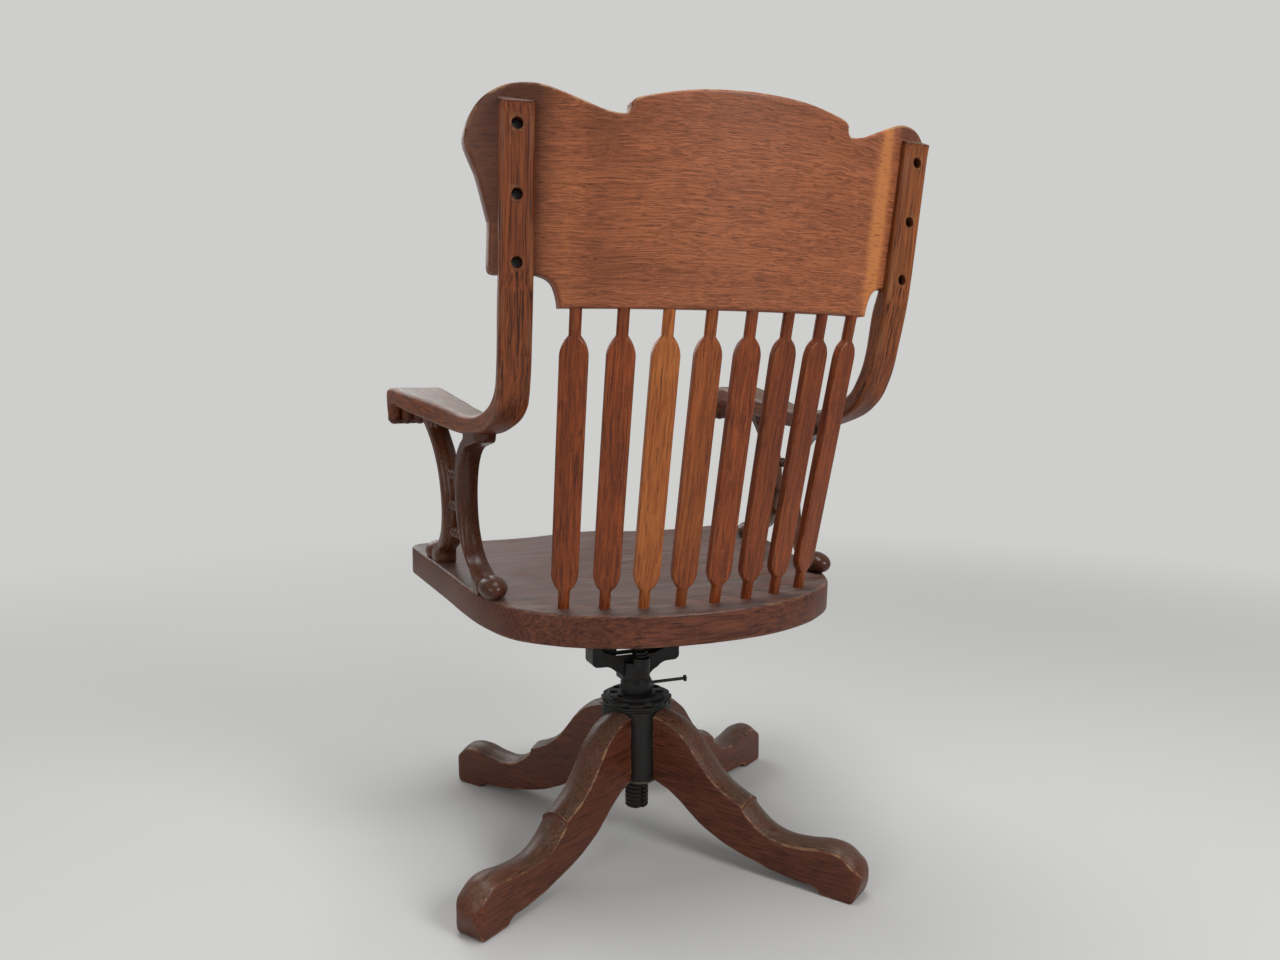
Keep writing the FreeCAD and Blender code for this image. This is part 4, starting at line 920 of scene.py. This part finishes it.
class ARMCHAIR_OT_legs(bpy.types.Operator):
    """Shape the four legs with their crowned backs and stepped feet"""
    bl_idname = "armchair.legs"
    bl_label = "Legs"

    def execute(self, context):
        sizes = context.scene.chair_sizes
        half = sizes.leg_thick / MM / 2
        crown = sizes.leg_crown / MM
        for i in range(4):
            turn = Matrix.Rotation(LEG_TURN + math.pi / 2 * i, 3, "Z")

            def to_space(x, y, z):
                r = y / MM
                wide = half
                if r > 355:
                    wide = half - 13 + math.sqrt(max(13 ** 2 - (r - 355) ** 2, 0.0))
                return turn @ Vector((y, x * wide / half, z))

            bm = start_piece()
            board_skin(bm, LEG_PAIRS, 72, 200, lambda y, v: half, 3.2, to_space,
                       crown=lambda v: crown * (1 - soft_step(0.78, 0.92, v)))
            layer = bm.verts.layers.float_vector["grain"]
            for vert in bm.verts:
                flat = turn.transposed() @ vert.co
                vert[layer] = Vector((flat.x + i * 0.53, flat.y + i * 0.21, flat.z))
            mark_tone(bm, lambda p: 0.15 * noise.noise(p * 7) - 0.1)
            name = "leg_%d" % (i + 1)
            finish_piece(bm, name + "_wood", "base", [name], finish("leg_oak"))
        return {"FINISHED"}


class ARMCHAIR_OT_ironwork(bpy.types.Operator):
    """Give the castings, screws, spring and buffers their finishes"""
    bl_idname = "armchair.ironwork"
    bl_label = "Ironwork"

    def execute(self, context):
        groups = {
            "dark_iron": ("hub", "yoke", "seat_iron", "hand_wheel", "thrust_ring"),
            "worn_plate": ("hub_bottom_plate",),
            "worn_iron": ("height_screw", "lock_pin", "pivot_rod", "pivot_nut"),
            "spring_steel": ("tilt_spring",),
            "screw_steel": ("hub_plate_screws", "leg_bolts", "seat_iron_screws", "crest_screws",
                            "support_foot_screws"),
            "black_rubber": ("stop_buffers",),
            "dowel_wood": ("arm_dowels",),
        }
        for kind, names in groups.items():
            for name in names:
                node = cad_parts[name]
                node.data.materials.clear()
                node.data.materials.append(finish(kind))
        return {"FINISHED"}


class ARMCHAIR_OT_stage(bpy.types.Operator):
    """Set the floor, the soft lamps, the backdrop and the camera"""
    bl_idname = "armchair.stage"
    bl_label = "Stage"

    def execute(self, context):
        scene = context.scene
        colour = tuple(scene.chair_colours.floor)
        bm = bmesh.new()
        bmesh.ops.create_circle(bm, cap_ends=True, segments=96, radius=14.0)
        mesh = bpy.data.meshes.new("studio_floor")
        bm.to_mesh(mesh)
        bm.free()
        ground = bpy.data.objects.new("studio_floor", mesh)
        mesh.materials.append(self.floor_paint(colour))
        scene.collection.objects.link(ground)
        lamps = (("key", (-1.3, 3.0, 2.3), 1.5, 78.0), ("fill", (3.0, 1.8, 1.6), 2.2, 30.0),
                 ("front", (0.6, -3.0, 2.2), 2.4, 34.0), ("top", (0.1, 0.2, 3.0), 1.3, 44.0))
        for name, place, size, power in lamps:
            lamp = bpy.data.lights.new(name + "_lamp", "AREA")
            lamp.shape = "DISK"
            lamp.size = size
            lamp.energy = power
            holder = bpy.data.objects.new(name + "_lamp", lamp)
            holder.location = place
            aim = Vector((0, 0, 0.5)) - Vector(place)
            holder.rotation_euler = aim.to_track_quat("-Z", "Y").to_euler()
            scene.collection.objects.link(holder)
        self.backdrop(scene)
        self.camera(scene)
        scene.view_settings.view_transform = "Standard"
        return {"FINISHED"}

    def floor_paint(self, colour):
        """Matt floor whose far part takes the even colour of the backdrop."""
        paint = flat_finish("Studio floor", colour, 0.85)
        tree = paint.node_tree
        place = add_node(tree, "ShaderNodeTexCoord", (-900, -200)).outputs["Object"]
        away = add_node(tree, "ShaderNodeVectorMath", (-700, -200), {0: place}, operation="LENGTH")
        rays = add_node(tree, "ShaderNodeLightPath", (-700, -400))
        share = between(tree, away.outputs["Value"], 1.0, 3.4, (-500, -200))
        share = sums(tree, "MULTIPLY", share, rays.outputs["Is Camera Ray"], (-300, -200))
        even = add_node(tree, "ShaderNodeEmission", (-100, -200),
                        {"Color": BACKDROP, "Strength": 1.0})
        both = add_node(tree, "ShaderNodeMixShader", (300, 0), {
            0: share, 1: tree.nodes["Principled BSDF"].outputs[0], 2: even.outputs[0]})
        tree.links.new(both.outputs[0], tree.nodes["Material Output"].inputs[0])
        return paint

    def backdrop(self, scene):
        world = bpy.data.worlds.new("Studio")
        scene.world = world
        world.use_nodes = True
        tree = world.node_tree
        tree.nodes.clear()
        rays = add_node(tree, "ShaderNodeLightPath", (-600, 0))
        seen = sums(tree, "MAXIMUM", rays.outputs["Is Camera Ray"],
                    rays.outputs["Is Transmission Ray"], (-400, 0))
        light = add_node(tree, "ShaderNodeBackground", (-200, 100), {"Color": (1, 1, 1, 1),
                                                                    "Strength": 0.36})
        wall = add_node(tree, "ShaderNodeBackground", (-200, -100),
                        {"Color": BACKDROP, "Strength": 1.0})
        both = add_node(tree, "ShaderNodeMixShader", (0, 0), {0: seen, 1: light.outputs[0],
                                                             2: wall.outputs[0]})
        add_node(tree, "ShaderNodeOutputWorld", (200, 0), {0: both.outputs[0]})

    def camera(self, scene):
        yaw, pitch, roll = PHOTO_YAW, PHOTO_PITCH, PHOTO_ROLL
        forward = Vector((-math.sin(yaw) * math.cos(pitch), -math.cos(yaw) * math.cos(pitch),
                          -math.sin(pitch)))
        level = forward.cross(Vector((0, 0, 1))).normalized()
        upward = level.cross(forward)
        right = level * math.cos(roll) + upward * math.sin(roll)
        up = upward * math.cos(roll) - level * math.sin(roll)
        lens = bpy.data.cameras.new("photo_view")
        lens.sensor_width = 36.0
        lens.sensor_fit = "HORIZONTAL"
        lens.lens = PHOTO_FOCAL * 36.0 / PHOTO_WIDTH
        lens.clip_end = 60.0
        holder = bpy.data.objects.new("photo_view", lens)
        turn = Matrix((right, up, -forward)).transposed().to_4x4()
        holder.matrix_world = Matrix.Translation(PHOTO_PLACE) @ turn
        scene.collection.objects.link(holder)
        scene.camera = holder


OPERATORS = (ARMCHAIR_OT_crest, ARMCHAIR_OT_arm_posts, ARMCHAIR_OT_spindles, ARMCHAIR_OT_seat,
             ARMCHAIR_OT_scrolls, ARMCHAIR_OT_legs, ARMCHAIR_OT_ironwork, ARMCHAIR_OT_stage)


class ARMCHAIR_PT_panel(bpy.types.Panel):
    bl_label = "Swivel armchair"
    bl_idname = "ARMCHAIR_PT_panel"
    bl_space_type = "VIEW_3D"
    bl_region_type = "UI"
    bl_category = "Armchair"

    def draw(self, context):
        column = self.layout.column()
        for operator in OPERATORS:
            column.operator(operator.bl_idname)
        for group in (context.scene.chair_sizes, context.scene.chair_colours):
            for name in group.bl_rna.properties.keys():
                if name not in ("rna_type", "name"):
                    column.prop(group, name)


CLASSES = (ChairSizes, ChairColours, *OPERATORS, ARMCHAIR_PT_panel)


def register():
    for kind in CLASSES:
        bpy.utils.register_class(kind)
    bpy.types.Scene.chair_sizes = PointerProperty(type=ChairSizes)
    bpy.types.Scene.chair_colours = PointerProperty(type=ChairColours)


def unregister():
    del bpy.types.Scene.chair_colours
    del bpy.types.Scene.chair_sizes
    for kind in reversed(CLASSES):
        bpy.utils.unregister_class(kind)


def main():
    register()
    bpy.ops.armchair.crest()
    bpy.ops.armchair.arm_posts()
    bpy.ops.armchair.spindles()
    bpy.ops.armchair.seat()
    bpy.ops.armchair.scrolls()
    bpy.ops.armchair.legs()
    bpy.ops.armchair.ironwork()
    bpy.ops.armchair.stage()


if __name__ == "__main__":
    main()
